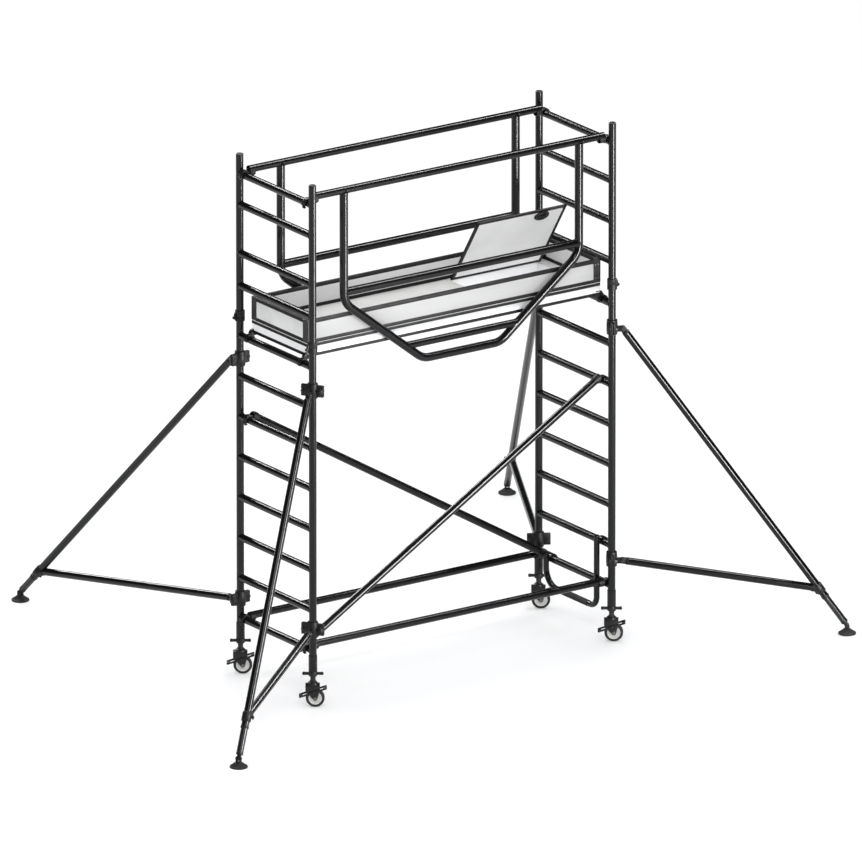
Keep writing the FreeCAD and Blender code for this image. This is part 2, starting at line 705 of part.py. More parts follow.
def castor_stem():
    """Hollow screwed stem with the king pin that the fork swivels on."""
    bottom = FORK_HEAD_TOP_Z + FACE_GAP
    pin_bottom = FORK_HEAD_Z - FACE_GAP
    stem = tube(V(0, 0, bottom), V(0, 0, bottom + STEM_LENGTH), STEM_R, STEM_WALL)
    collar = Part.makeCylinder(STEM_COLLAR_R, STEM_COLLAR, V(0, 0, bottom))
    pin = rod(V(0, 0, pin_bottom), V(0, 0, bottom + 1), KING_PIN_R)
    head = rod(V(0, 0, pin_bottom - KING_HEAD), V(0, 0, pin_bottom), KING_HEAD_R)
    return [joined(stem, collar, pin, head)]


def adjuster_nut():
    """Winged nut under the post, with a boss that centres it in the post."""
    bottom = NUT_TOP_Z - NUT_HEIGHT
    body = Part.makeCylinder(NUT_R, NUT_HEIGHT, V(0, 0, bottom))
    boss = Part.makeCylinder(POST_BORE_R - NUT_BOSS_GAP, NUT_BOSS_HEIGHT, V(0, 0, NUT_TOP_Z))
    middle = bottom + NUT_HEIGHT / 2
    reach = NUT_WING_SPAN / 2 - NUT_WING_R
    wings = rod(V(-reach, 0, middle), V(reach, 0, middle), NUT_WING_R)
    tips = [Part.makeSphere(NUT_WING_R, V(end * reach, 0, middle)) for end in (-1, 1)]
    nut = joined(body, boss, wings, *tips)
    return [nut.cut(rod(V(0, 0, 0), V(0, 0, BASE_TOP_Z), STEM_R + STEM_RUN))]


def placed_castor(corner, pieces):
    placed = []
    for piece in pieces:
        copy = piece.copy()
        copy.rotate(V(0, 0, 0), UP, CASTOR_HEADING_DEG)
        copy.translate(post_point(corner, 0))
        placed.append(copy)
    return placed


# Stabilisers, built reaching along +X from the post and then turned

def leg_ends(corner):
    """Top pivot, foot pivot and coupler point in the stabiliser's own plane."""
    top = V(CLAMP_LUG, 0, BASE_TOP_Z - CLAMP_TOP_DROP - LUG_DROP)
    foot = V(STABILISER_REACH[corner], 0, FOOT_PIVOT_Z)
    return top, foot, top + (foot - top) * COUPLER_SHARE[corner]


def forked_end(pivot, toward, tube_r, bore_r):
    """Plug in a tube's end with two ears round a lug pin."""
    start = pivot + toward * END_PLUG_START
    plug = rod(start, start + toward * END_PLUG, bore_r)
    cap = rod(start, start + toward * (END_PLUG / 3), tube_r)
    across = ALONG_Y
    ears = []
    upright = toward.cross(across).normalize()
    for face in (-1, 1):
        near = across * (face * (LUG_HALF + FACE_GAP))
        out = across * (face * FORK_EAR)
        eye = rod(pivot + near, pivot + near + out, LUG_EYE_R)
        corners = [
            pivot + upright * LUG_EYE_R + near,
            pivot - upright * LUG_EYE_R + near,
            start + toward * 2 - upright * LUG_EYE_R + near,
            start + toward * 2 + upright * LUG_EYE_R + near,
        ]
        ears += [eye, extruded(corners, out)]
    return joined(plug, cap, *ears), start + toward * (END_PLUG / 3)


def clamp(z):
    """Two-jaw clamp round the post with a lug, a hinge bolt and a wing bolt."""
    half = CLAMP_HEIGHT / 2
    bore = TUBE_R + CLAMP_RUN
    outer = bore + CLAMP_WALL
    ear = CLAMP_EAR_HEIGHT / 2
    depth = CLAMP_EAR_DEPTH / 2
    collar = Part.makeCylinder(outer, CLAMP_HEIGHT, V(0, 0, z - half))
    ears = block(-depth, depth, -CLAMP_SPAN / 2, CLAMP_SPAN / 2, z - ear, z + ear)
    ears = ears.makeFillet(depth * 0.6, [edge for edge in ears.Edges
                                         if abs(edge.tangentAt(0).x) > 0.9])
    lug_z = z - LUG_DROP
    lug = block(0, CLAMP_LUG, -LUG_HALF, LUG_HALF, lug_z - LUG_EYE_R, lug_z + LUG_EYE_R)
    eye = rod(V(CLAMP_LUG, -LUG_HALF, lug_z), V(CLAMP_LUG, LUG_HALF, lug_z), LUG_EYE_R)
    body = joined(collar, ears, lug, eye)
    body = body.cut([
        Part.makeCylinder(bore, CLAMP_HEIGHT, V(0, 0, z - half)),
        rod(V(CLAMP_LUG, -LUG_HALF, lug_z), V(CLAMP_LUG, LUG_HALF, lug_z), LUG_PIN_R),
    ])
    bolt_y = CLAMP_SPAN / 2 - CLAMP_EAR_DEPTH / 2
    pieces = [largest(body)]
    for face in (-1, 1):
        start = V(depth, face * bolt_y, z)
        pieces.append(rod(start, start + V(CLAMP_EAR_DEPTH, 0, 0), CLAMP_BOLT_R))
    pin_half = LUG_HALF + FACE_GAP + FORK_EAR
    pieces.append(rod(V(CLAMP_LUG, -pin_half, lug_z), V(CLAMP_LUG, pin_half, lug_z), LUG_PIN_R))
    return pieces


def pin_hole(pivot):
    half = ALONG_Y * (LUG_HALF + FACE_GAP + FORK_EAR + 1)
    return rod(pivot - half, pivot + half, LUG_PIN_R)


def stabiliser_clamps(corner):
    return clamp(BASE_TOP_Z - CLAMP_TOP_DROP) + clamp(CLAMP_LOW_Z[corner])


def stabiliser_leg(corner):
    top, foot, coupler = leg_ends(corner)
    down = (foot - top).normalize()
    head, tube_start = forked_end(top, down, TUBE_R, POST_BORE_R)
    outer = tube(tube_start, coupler + down * SLEEVE_PAST_COUPLER, TUBE_R, TUBE_WALL)
    return [head.cut(pin_hole(top)), outer]


def stabiliser_arm(corner):
    top, foot, coupler = leg_ends(corner)
    down = (foot - top).normalize()
    low = V(CLAMP_LUG, 0, CLAMP_LOW_Z[corner] - LUG_DROP)
    toward_leg = (coupler - low).normalize()
    head, tube_start = forked_end(low, toward_leg, TUBE_R, POST_BORE_R)
    half = down * (COUPLER_LENGTH / 2)
    outer_r = TUBE_R + COUPLER_WALL
    leg_rod = rod(coupler - half * 6, coupler + half * 6, TUBE_R)
    collar = rod(coupler - half, coupler + half, outer_r)
    socket = rod(coupler - toward_leg * COUPLER_REACH, coupler, TUBE_R + COUPLER_WALL / 2)
    collar = largest(joined(collar, socket).cut(leg_rod))
    arm = tube(tube_start, coupler - toward_leg * COUPLER_REACH, TUBE_R, TUBE_WALL)
    return [head.cut(pin_hole(low)), largest(arm.cut(leg_rod)), collar]


def stabiliser_extension(corner):
    """Inner tube, its spring button and the eye that the foot hangs on."""
    top, foot, coupler = leg_ends(corner)
    up = (top - foot).normalize()
    inner_r = POST_BORE_R - INNER_CLEARANCE
    start = foot + up * END_PLUG_START
    length = (foot - coupler).Length + INNER_OVERLAP
    inner = tube(start, start + up * length, inner_r, INNER_WALL)
    plug = rod(start, start + up * END_PLUG, inner_r - INNER_WALL)
    half = ALONG_Y * FOOT_LUG_HALF
    eye = rod(foot - half, foot + half, FOOT_EAR_R)
    side = up.cross(ALONG_Y).normalize() * FOOT_EAR_R
    neck = extruded([foot + side - half, foot - side - half,
                     start + up * 4 - side - half, start + up * 4 + side - half], half * 2)
    end = joined(plug, eye, neck).cut(rod(foot - half * 2, foot + half * 2, FOOT_PIN_R + FIT))
    return [inner, end.cut(inner)]


def stabiliser_foot(corner):
    """Flared rubber pad with two ears and a pin, level on the floor."""
    outline = [
        V(0, 0, 0), V(FOOT_R, 0, 0), V(FOOT_R, 0, FOOT_RIM),
        V(FOOT_R * 0.72, 0, FOOT_RIM * 1.7), V(FOOT_NECK_R * 1.15, 0, FOOT_RIM * 2.8),
        V(FOOT_NECK_R, 0, FOOT_NECK_Z), V(0, 0, FOOT_NECK_Z),
    ]
    pad = Part.Face(Part.makePolygon(outline + [outline[0]])).revolve(V(0, 0, 0), UP, 360)
    solids = []
    pivot = V(0, 0, FOOT_PIVOT_Z)
    for face in (-1, 1):
        near = ALONG_Y * (face * (FOOT_LUG_HALF + FACE_GAP * 2))
        out = ALONG_Y * (face * FORK_EAR)
        solids.append(rod(pivot + near, pivot + near + out, FOOT_EAR_R))
        corners = [V(-FOOT_EAR_R, 0, FOOT_NECK_Z - 2) + near, V(FOOT_EAR_R, 0, FOOT_NECK_Z - 2) + near,
                   V(FOOT_EAR_R, 0, FOOT_PIVOT_Z) + near, V(-FOOT_EAR_R, 0, FOOT_PIVOT_Z) + near]
        solids.append(extruded(corners, out))
    half = ALONG_Y * (FOOT_LUG_HALF + FACE_GAP * 2 + FORK_EAR + 2)
    solids.append(rod(pivot - half, pivot + half, FOOT_PIN_R))
    foot = joined(pad, *solids)
    foot.translate(V(STABILISER_REACH[corner], 0, 0))
    return [foot]


def placed_stabiliser(corner, pieces):
    placed = []
    for piece in pieces:
        copy = piece.copy()
        copy.rotate(V(0, 0, 0), UP, STABILISER_AZIMUTH[corner])
        copy.translate(post_point(corner, 0))
        placed.append(copy)
    return placed


def build():
    nodes = {
        "base_frame_left": base_frame(-1),
        "base_frame_right": base_frame(1),
        "upper_frame_left": upper_frame(-1),
        "upper_frame_right": upper_frame(1),
        "frame_joint_clips": frame_joint_clips(),
        "post_caps": post_caps(),
        "braces": braces(),
        "brace_claws": brace_claws(),
        "guardrail_front": guardrail(-1),
        "guardrail_back": guardrail(1),
        "platform_frame": platform_frame(),
        "deck_panel": deck_panel(),
        "trapdoor": trapdoor(),
        "trapdoor_latch": trapdoor_latch(),
        "toe_boards": toe_boards(),
        "access_step": access_step(),
    }
    castor_parts = {
        "castor_stem": castor_stem(),
        "adjuster_nut": adjuster_nut(),
        "castor_fork": castor_fork(),
        "castor_hub": castor_hub(),
        "castor_tyre": castor_tyre(),
        "brake_lever": brake_lever(),
    }
    for corner in CORNERS:
        for name, pieces in castor_parts.items():
            nodes[name + "_" + corner] = placed_castor(corner, pieces)
        stabiliser_parts = {
            "stabiliser_clamps": stabiliser_clamps(corner),
            "stabiliser_leg": stabiliser_leg(corner),
            "stabiliser_arm": stabiliser_arm(corner),
            "stabiliser_extension": stabiliser_extension(corner),
            "stabiliser_foot": stabiliser_foot(corner),
        }
        for name, pieces in stabiliser_parts.items():
            nodes[name + "_" + corner] = placed_stabiliser(corner, pieces)
    return nodes


os.makedirs("parts", exist_ok=True)
NODES = build()
for node_name, node_pieces in NODES.items():
    shape = Part.makeCompound(node_pieces)
    shape.translate(ORIGIN_SHIFT)
    shape.exportStep("parts/" + node_name + ".step")
    solids = shape.Solids
    state = "ok" if all(solid.isValid() for solid in solids) else "INVALID"
    print(node_name, len(solids), "solids", state)
print(len(NODES), "nodes, origin shift", ORIGIN_SHIFT)
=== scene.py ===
# %% [markdown]
# # A mobile tower scaffold, one piece at a time
# The tower is a kit: ladder frames, braces, guardrails, a platform, castors and stabilisers. Its measured model
# is loaded first and never moved. Every piece made here is fitted to that model, so the lesson is about shape and
# finish.

# %% Load the measured tower
import json
import math

import bmesh
import bpy
from mathutils import Matrix, Vector


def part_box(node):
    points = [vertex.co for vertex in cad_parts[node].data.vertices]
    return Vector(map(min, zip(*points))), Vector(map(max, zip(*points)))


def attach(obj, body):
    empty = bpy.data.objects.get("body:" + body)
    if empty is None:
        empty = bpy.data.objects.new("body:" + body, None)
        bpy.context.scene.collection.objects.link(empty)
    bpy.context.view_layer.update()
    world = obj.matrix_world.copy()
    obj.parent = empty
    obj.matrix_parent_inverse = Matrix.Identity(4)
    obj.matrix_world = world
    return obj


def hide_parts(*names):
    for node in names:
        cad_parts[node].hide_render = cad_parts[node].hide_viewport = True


link = bpy.context.scene.collection.objects.link
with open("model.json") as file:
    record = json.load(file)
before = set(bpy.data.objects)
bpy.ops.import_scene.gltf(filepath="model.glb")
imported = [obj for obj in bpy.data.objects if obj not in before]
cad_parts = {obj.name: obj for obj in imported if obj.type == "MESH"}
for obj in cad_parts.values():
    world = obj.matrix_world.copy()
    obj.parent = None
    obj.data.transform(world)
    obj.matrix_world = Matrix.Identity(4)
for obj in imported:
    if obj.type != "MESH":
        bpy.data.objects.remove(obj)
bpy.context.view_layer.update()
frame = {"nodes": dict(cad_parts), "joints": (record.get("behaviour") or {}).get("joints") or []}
print("nodes in the tower:", len(frame["nodes"]))

# %% [markdown]
# ## Where things are
# The stems stand on the posts' axes, and the joint clips mark where the lifts meet. From those and the number of
# rungs comes the height of each rung. Reading places from the model keeps each new piece in register with it.

# %% Read the main places
CORNERS = ("lb", "lf", "rf", "rb")
BASE_RUNGS = 8
TOP_RUNG = 11
TOP_RUNG_RISE = 0.982
FIRST_RUNG_RISE = 0.142
UP = Vector((0, 0, 1))


def middle(node):
    low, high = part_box(node)
    return (low + high) / 2


def at_height(point, z):
    return Vector((point.x, point.y, z))


post = {corner: at_height(middle("castor_stem_" + corner), 0) for corner in CORNERS}
upper_low, upper_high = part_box("upper_frame_left")
TUBE_R = (upper_high.x - upper_low.x) / 2
POST_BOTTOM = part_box("base_frame_left")[0].z
BASE_TOP = upper_low.z
POST_TOP = upper_high.z
RUNG_PITCH = (BASE_TOP - POST_BOTTOM) / BASE_RUNGS
joints = {joint["name"]: joint for joint in frame["joints"]}


def rung_z(index):
    """Height of a base frame's rung, or of the top rung that the rails hang on."""
    if index == TOP_RUNG:
        return BASE_TOP + TOP_RUNG_RISE
    return POST_BOTTOM + FIRST_RUNG_RISE + index * RUNG_PITCH


print("tube radius", round(TUBE_R, 4), "rung pitch", round(RUNG_PITCH, 3))

# %% [markdown]
# ## The camera
# The tower is shown in parallel projection, where lines that are parallel stay so. A very long lens from very far
# away gives the same picture as an orthographic camera, and it still works when the view moves round the tower.

# %% Place the camera
VIEW_AZIMUTH = math.radians(-34.756)
VIEW_ELEVATION = math.radians(18.007)
VIEW_WIDTH = 5.710
LENS = 1400.0
SENSOR = 36.0
VIEW_CENTRE = (post["lf"] + post["rb"]) / 2 + Vector((0.2894, 0.3625, 1.4238))

camera = bpy.data.objects.new("camera", bpy.data.cameras.new("camera"))
link(camera)
bpy.context.scene.camera = camera
camera.data.lens = LENS
camera.data.sensor_width = SENSOR
back = Vector((math.sin(VIEW_AZIMUTH) * math.cos(VIEW_ELEVATION),
               -math.cos(VIEW_AZIMUTH) * math.cos(VIEW_ELEVATION),
               math.sin(VIEW_ELEVATION)))
distance = VIEW_WIDTH * LENS / SENSOR
camera.location = VIEW_CENTRE + back * distance
camera.rotation_mode = "QUATERNION"
camera.rotation_quaternion = (-back).to_track_quat("-Z", "Y")
camera.data.clip_start = distance * 0.5
camera.data.clip_end = distance * 1.5
print("camera stands", round(distance, 1), "m away")

# %% [markdown]
# ## Light and floor
# Black tubes show their roundness only by what they reflect. A tube mirrors a long, narrow light as one thin
# bright line, if the light lies where the tube's curve turns the view. So there is a strip for each way that the
# tubes run, and the strips light only reflections, so that they leave the pale boards alone. A strip for upright
# tubes lies near the floor, because an upright tube seen from above mirrors what is below. The pale surround is
# kept out of reflections, so that the tubes stay black between their streaks.

# %% Build the studio
FLOOR_SIZE = 90.0


def area_light(name, place, aim, size, length, watts):
    lamp = bpy.data.lights.new(name, "AREA")
    lamp.shape = "RECTANGLE"
    lamp.size = size
    lamp.size_y = length
    lamp.energy = watts
    holder = bpy.data.objects.new(name, lamp)
    link(holder)
    holder.location = place
    holder.rotation_mode = "QUATERNION"
    holder.rotation_quaternion = (Vector(aim) - Vector(place)).to_track_quat("-Z", "Y")
    return holder


AIM = Vector((0, -0.7, 1.6))
area_light("key_light", (-5.0, -9.0, 8.5), AIM, 4.0, 4.0, 330)
area_light("top_light", (0.5, 1.0, 9.5), AIM, 6.0, 2.0, 160)
view_across = Vector((math.sin(VIEW_AZIMUTH), -math.cos(VIEW_AZIMUTH), 0)) * -math.cos(VIEW_ELEVATION)
view_line = view_across + UP * -math.sin(VIEW_ELEVATION)


def mirror_strip(name, tube_line, turn, distance, width, length, watts):
    """A strip that tubes along a line show as a bright streak, turned round them from the side that is seen."""
    tube_line = Vector(tube_line)
    along = tube_line * view_line.dot(tube_line)
    seen = (view_line - along) * -1
    direction = along + Matrix.Rotation(math.radians(turn), 3, tube_line) @ seen
    place = AIM + direction.normalized() * distance
    place.z = max(place.z, 0.05)
    holder = area_light(name, place, AIM, width, length, watts)
    back = (AIM - place).normalized()
    side = back.cross(tube_line).normalized()
    rise = side.cross(back)
    holder.rotation_quaternion = Matrix((side, rise, -back)).transposed().to_quaternion()
    holder.visible_diffuse = False
    holder.visible_camera = False


mirror_strip("streak_on_rails", (1, 0, 0), -62, 9.0, 0.8, 12.0, 1500)
mirror_strip("streak_on_rungs", (0, 1, 0), 62, 9.0, 0.8, 12.0, 1500)
mirror_strip("streak_on_posts", (0, 0, 1), 48, 8.0, 1.0, 10.0, 2600)

world = bpy.data.worlds.new("studio")
bpy.context.scene.world = world
world.use_nodes = True
world.cycles_visibility.glossy = False
surround = world.node_tree.nodes["Background"]
surround.inputs["Color"].default_value = (0.98, 0.985, 1.0, 1)
surround.inputs["Strength"].default_value = 0.92
bpy.context.scene.view_settings.view_transform = "Standard"

floor_mesh = bpy.data.meshes.new("floor")
half = FLOOR_SIZE / 2
floor_mesh.from_pydata([(-half, -half, 0), (half, -half, 0), (half, half, 0), (-half, half, 0)],
                       [], [(0, 1, 2, 3)])
floor = bpy.data.objects.new("floor", floor_mesh)
link(floor)

# %% [markdown]
# ## Finishes
# Each finish is a small recipe on the standard shader: a colour that varies a little, a roughness that varies a
# little, and a bump at the size of the real grain. A helper wires those three, so that each finish below is only
# a few numbers with a reason. Object coordinates are metres here, so a scale of 900 is a grain of about a
# millimetre.

# %% A recipe for finishes


def node(tree, kind, **values):
    made = tree.nodes.new(kind)
    for name, value in values.items():
        made.inputs[name.replace("_", " ")].default_value = value
    return made


def noise(tree, scale, detail, stretch=(1, 1, 1)):
    where = tree.nodes.new("ShaderNodeTexCoord")
    mapping = node(tree, "ShaderNodeMapping", Scale=stretch)
    texture = node(tree, "ShaderNodeTexNoise", Scale=scale, Detail=detail)
    tree.links.new(where.outputs["Object"], mapping.inputs["Vector"])
    tree.links.new(mapping.outputs["Vector"], texture.inputs["Vector"])
    return texture.outputs["Fac"]


def ramp(tree, factor, low, high, dark, light):
    made = tree.nodes.new("ShaderNodeValToRGB")
    made.color_ramp.elements[0].position = low
    made.color_ramp.elements[1].position = high
    made.color_ramp.elements[0].color = (*dark, 1)
    made.color_ramp.elements[1].color = (*light, 1)
    tree.links.new(factor, made.inputs["Fac"])
    return made.outputs["Color"]


def finish(name, dark, light, rough, grain, bump, patch=6.0, stretch=(1, 1, 1), metal=0.0, spec=0.5):
    """A material whose tone, a grey or a colour, and roughness wander between two values, with a fine bump."""
    material = bpy.data.materials.new(name)
    material.use_nodes = True
    tree = material.node_tree
    shader = tree.nodes["Principled BSDF"]
    shader.inputs["Metallic"].default_value = metal
    shader.inputs["Specular IOR Level"].default_value = spec
    dark, light = (tone if isinstance(tone, tuple) else (tone,) * 3 for tone in (dark, light))
    colour = ramp(tree, noise(tree, patch, 6.0, stretch), 0.3, 0.7, dark, light)
    tree.links.new(colour, shader.inputs["Base Color"])
    spread = node(tree, "ShaderNodeMapRange", From_Min=0.25, From_Max=0.75,
                  To_Min=rough[0], To_Max=rough[1])
    tree.links.new(noise(tree, patch * 3.0, 5.0, stretch), spread.inputs["Value"])
    tree.links.new(spread.outputs["Result"], shader.inputs["Roughness"])
    relief = node(tree, "ShaderNodeBump", Strength=bump, Distance=0.001)
    tree.links.new(noise(tree, grain, 3.0, stretch), relief.inputs["Height"])
    tree.links.new(relief.outputs["Normal"], shader.inputs["Normal"])
    return material


black_coat = finish("black_powder_coat", (0.004, 0.004, 0.0045), (0.007, 0.007, 0.0075), (0.17, 0.21), 700, 0.025,
                    patch=3.0, spec=0.28)
inner_coat = finish("dark_anodised", (0.010, 0.010, 0.011), (0.022, 0.022, 0.024), (0.22, 0.34), 500, 0.05,
                    stretch=(1, 1, 0.2), spec=0.4)
cast_black = finish("painted_casting", 0.004, 0.010, (0.40, 0.58), 420, 0.35, spec=0.3)
pressed_black = finish("passivated_pressing", (0.005, 0.005, 0.006), (0.012, 0.012, 0.013), (0.30, 0.45), 700,
                       0.12,
                       spec=0.3)
black_bolt = finish("black_bolt_steel", 0.010, (0.024, 0.024, 0.025), (0.28, 0.42), 800, 0.10, spec=0.45)
screw_zinc = finish("oiled_screw_steel", (0.02, 0.02, 0.021), (0.05, 0.05, 0.052), (0.28, 0.45), 800, 0.12,
                    metal=0.8)
tyre_rubber = finish("tyre_rubber", 0.009, 0.018, (0.60, 0.80), 1300, 0.25, spec=0.3)
foot_rubber = finish("foot_rubber", 0.008, 0.020, (0.60, 0.82), 1100, 0.30, spec=0.3)
black_plastic = finish("grained_plastic", 0.008, 0.016, (0.40, 0.55), 1600, 0.20,
                       spec=0.3)
pale_nylon = finish("pale_nylon", (0.60, 0.60, 0.58), (0.74, 0.74, 0.72), (0.40, 0.52), 1200, 0.10)
edge_trim = finish("black_edge_trim", 0.006, 0.012, (0.45, 0.6), 1000, 0.15, spec=0.2)
pale_aluminium = finish("brushed_pale_aluminium", (0.80, 0.81, 0.82), (0.90, 0.90, 0.91), (0.34, 0.48), 260, 0.10,
                        stretch=(0.05, 1, 1), metal=0.15)
board_grey = finish("grey_board_paint", (0.60, 0.60, 0.598), (0.69, 0.69, 0.688), (0.50, 0.66), 300, 0.16,
                    patch=9.0, stretch=(0.12, 1, 1), spec=0.3)
bolt_steel = finish("dull_bolt_steel", (0.10, 0.10, 0.105), (0.20, 0.20, 0.205), (0.30, 0.45), 700, 0.10,
                    metal=0.9)
floor_pale = finish("studio_floor", 0.90, 0.92, (0.85, 0.95), 60, 0.01, patch=0.6, spec=0.0)
glow = floor_pale.node_tree.nodes["Principled BSDF"].inputs
glow["Emission Color"].default_value = (1, 1, 1, 1)
glow["Emission Strength"].default_value = 0.16
floor.data.materials.append(floor_pale)
print("finishes:", len(bpy.data.materials))

# %% [markdown]
# ## Tools for shapes
# Almost everything here is tube, so the first tool sweeps a ring along a line of points. The others turn a
# profile on a lathe, push a flat outline through a thickness, and collect such parts into one object. Each part
# is only a list of corners and a list of faces until `piece` joins them, which keeps the recipes short and easy
# to read.

# %% Sweep, turn and push

def ring_axes(direction):
    side = direction.orthogonal().normalized()
    return side, direction.cross(side).normalized()


def sweep(points, radius, sides=28, wall=0.0, flutes=0, depth=0.0, closed=False):
    """A ring carried along points without twisting; with a wall it is a hollow tube."""
    points = [Vector(point) for point in points]
    count = len(points)
    rings = []
    side = None
    for index, point in enumerate(points):
        before = points[index - 1] if index or closed else point
        after = points[(index + 1) % count] if index < count - 1 or closed else point
        direction = (after - before).normalized()
        if side is None:
            side, _ = ring_axes(direction)
        side = (side - direction * side.dot(direction)).normalized()
        rings.append((point, side, direction.cross(side)))

    def ring(at, size):
        point, first, second = at
        corners = []
        for step in range(sides):
            angle = 2 * math.pi * step / sides
            reach = size - depth * (0.5 + 0.5 * math.cos(angle * flutes)) if flutes else size
            corners.append(point + first * (reach * math.cos(angle)) + second * (reach * math.sin(angle)))
        return corners

    loops = [ring(at, radius) for at in rings]
    if wall:
        loops += [ring(at, radius - wall) for at in reversed(rings)]
    verts = [corner for loop in loops for corner in loop]
    last = len(loops)
    faces = []
    for index in range(last if wall or closed else last - 1):
        here, there = index * sides, (index + 1) % last * sides
        for step in range(sides):
            turn = (step + 1) % sides
            faces.append([here + step, here + turn, there + turn, there + step])
    if not wall and not closed:
        faces.append(list(range(sides))[::-1])
        faces.append(list(range((last - 1) * sides, last * sides)))
    return verts, faces


def tube(start, end, radius, wall=0.0, **more):
    return sweep([start, end], radius, wall=wall, **more)


def lathe(profile, base, axis, sides=40):
    """A profile of (radius, distance along the axis) turned about the axis."""
    axis = Vector(axis).normalized()
    first, second = ring_axes(axis)
    verts = []
    for radius, along in profile:
        for step in range(sides):
            angle = 2 * math.pi * step / sides
            out = first * math.cos(angle) + second * math.sin(angle)
            verts.append(Vector(base) + axis * along + out * radius)
    faces = []
    for index in range(len(profile) - 1):
        for step in range(sides):
            turn = (step + 1) % sides
            here, there = index * sides, (index + 1) * sides
            faces.append([here + step, here + turn, there + turn, there + step])
    return verts, faces


print("tools that turn: sweep, tube and lathe")

# %% Outlines, bricks and eased edges

def arc(centre, radius, start, end, steps):
    """Points (across, up) on an arc, with angles in degrees."""
    points = []
    for step in range(steps + 1):
        angle = math.radians(start + (end - start) * step / steps)
        points.append((centre[0] + radius * math.cos(angle), centre[1] + radius * math.sin(angle)))
    return points


def plate(outline, near, far):
    """A flat outline in X and Z, pushed along Y."""
    near, far = sorted((near, far))
    count = len(outline)
    verts = [Vector((x, near, z)) for x, z in outline] + [Vector((x, far, z)) for x, z in outline]
    faces = [list(range(count)), list(range(2 * count - 1, count - 1, -1))]
    faces += [[i, i + count, (i + 1) % count + count, (i + 1) % count] for i in range(count)]
    return verts, faces


def brick(low, high):
    (x0, x1), (y0, y1), (z0, z1) = (sorted(pair) for pair in zip(low, high))
    return plate([(x0, z0), (x1, z0), (x1, z1), (x0, z1)], y0, y1)


def eased(part, width, steps=2, sharp=25.0):
    """The same part with its sharp edges rounded off."""
    shape = bmesh.new()
    corners = [shape.verts.new(corner) for corner in part[0]]
    for face in part[1]:
        shape.faces.new([corners[index] for index in face])
    bmesh.ops.recalc_face_normals(shape, faces=shape.faces)
    limit = math.radians(sharp)
    edges = [edge for edge in shape.edges if len(edge.link_faces) == 2 and edge.calc_face_angle() > limit]
    bmesh.ops.bevel(shape, geom=edges, offset=width, segments=steps, profile=0.5,
                    affect="EDGES", clamp_overlap=True)
    shape.verts.index_update()
    verts = [corner.co.copy() for corner in shape.verts]
    faces = [[corner.index for corner in face.verts] for face in shape.faces]
    shape.free()
    return verts, faces

def slab(low, high, ease, steps=2):
    """A brick between two corners, with its edges eased."""
    return eased(brick(low, high), ease, steps)


print("tools that push: plate, brick and slab")

# %% Put parts in place and join them

def moved(matrix, part):
    return [matrix @ corner for corner in part[0]], part[1]


def placed(matrix, parts):
    """Every part of a list, moved by one matrix."""
    return [moved(matrix, part) for part in parts]


def shifted(part, offset):
    return moved(Matrix.Translation(Vector(offset)), part)


def turned(angle, axis, part):
    return moved(Matrix.Rotation(math.radians(angle), 4, axis), part)


def frame_at(origin, along, up=UP):
    """A place whose X points along a direction and whose Z stays as near to up as it can."""
    along = Vector(along).normalized()
    side = Vector(up).cross(along).normalized()
    rise = along.cross(side)
    matrix = Matrix((along, side, rise)).transposed().to_4x4()
    matrix.translation = Vector(origin)
    return matrix


made = []


def piece(name, parts, material, body, stands_for=()):
    """Join parts into one object, smooth it up to its sharp edges and let it ride on a body."""
    shape = bmesh.new()
    for verts, faces in parts:
        corners = [shape.verts.new(corner) for corner in verts]
        for face in faces:
            shape.faces.new([corners[index] for index in face])
    bmesh.ops.remove_doubles(shape, verts=shape.verts, dist=1e-6)
    bmesh.ops.recalc_face_normals(shape, faces=shape.faces)
    for edge in shape.edges:
        edge.smooth = len(edge.link_faces) == 2 and edge.calc_face_angle() < math.radians(38)
    for face in shape.faces:
        face.smooth = True
    mesh = bpy.data.meshes.new(name)
    shape.to_mesh(mesh)
    shape.free()
    mesh.materials.append(material)
    thing = bpy.data.objects.new(name, mesh)
    link(thing)
    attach(thing, body)
    if stands_for:
        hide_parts(*stands_for)
    made.append(name)


print("shape tools ready")

# %% [markdown]
# ## Welds
# Where one tube ends on another, the real joint is a bead of weld along the curve in which the two tubes meet.
# The curve is found point by point: go round the branch tube, and from each place slide along it until the
# distance to the other tube's axis equals that tube's radius. A thin ring swept along the curve, a little uneven,
# is the bead.

# %% Weld beads
BEAD_R = 0.0032


def weld(point, main_axis, branch_axis, main_r, branch_r, steps=36):
    """A bead along the line where a branch tube meets a main tube, with a slight waver."""
    main_axis = Vector(main_axis).normalized()
    branch_axis = Vector(branch_axis).normalized()
    first, second = ring_axes(branch_axis)
    flat = branch_axis - main_axis * branch_axis.dot(main_axis)
    path = []
    for step in range(steps):
        angle = 2 * math.pi * step / steps
        out = (first * math.cos(angle) + second * math.sin(angle)) * branch_r
        away = out - main_axis * out.dot(main_axis)
        mixed = away.dot(flat)
        room = max(mixed ** 2 - flat.length_squared * (away.length_squared - main_r ** 2), 0)
        reach = (math.sqrt(room) - mixed) / flat.length_squared
        wobble = 1 + 0.012 * math.sin(step * 2.6)
        path.append(Vector(point) + (out + branch_axis * reach) * wobble)
    return sweep(path, BEAD_R, sides=7, closed=True)


print("bead radius", BEAD_R)

# %% [markdown]
# ## Ladder frames
# A frame is two posts with rungs welded between them. The rungs are the ladder, so they are fluted for grip,
# while the posts stay smooth to let clamps slide. Tubes are open at their ends, so each is made hollow. Base
# frames end below in a short sleeve that takes the castor, pinned through the post.

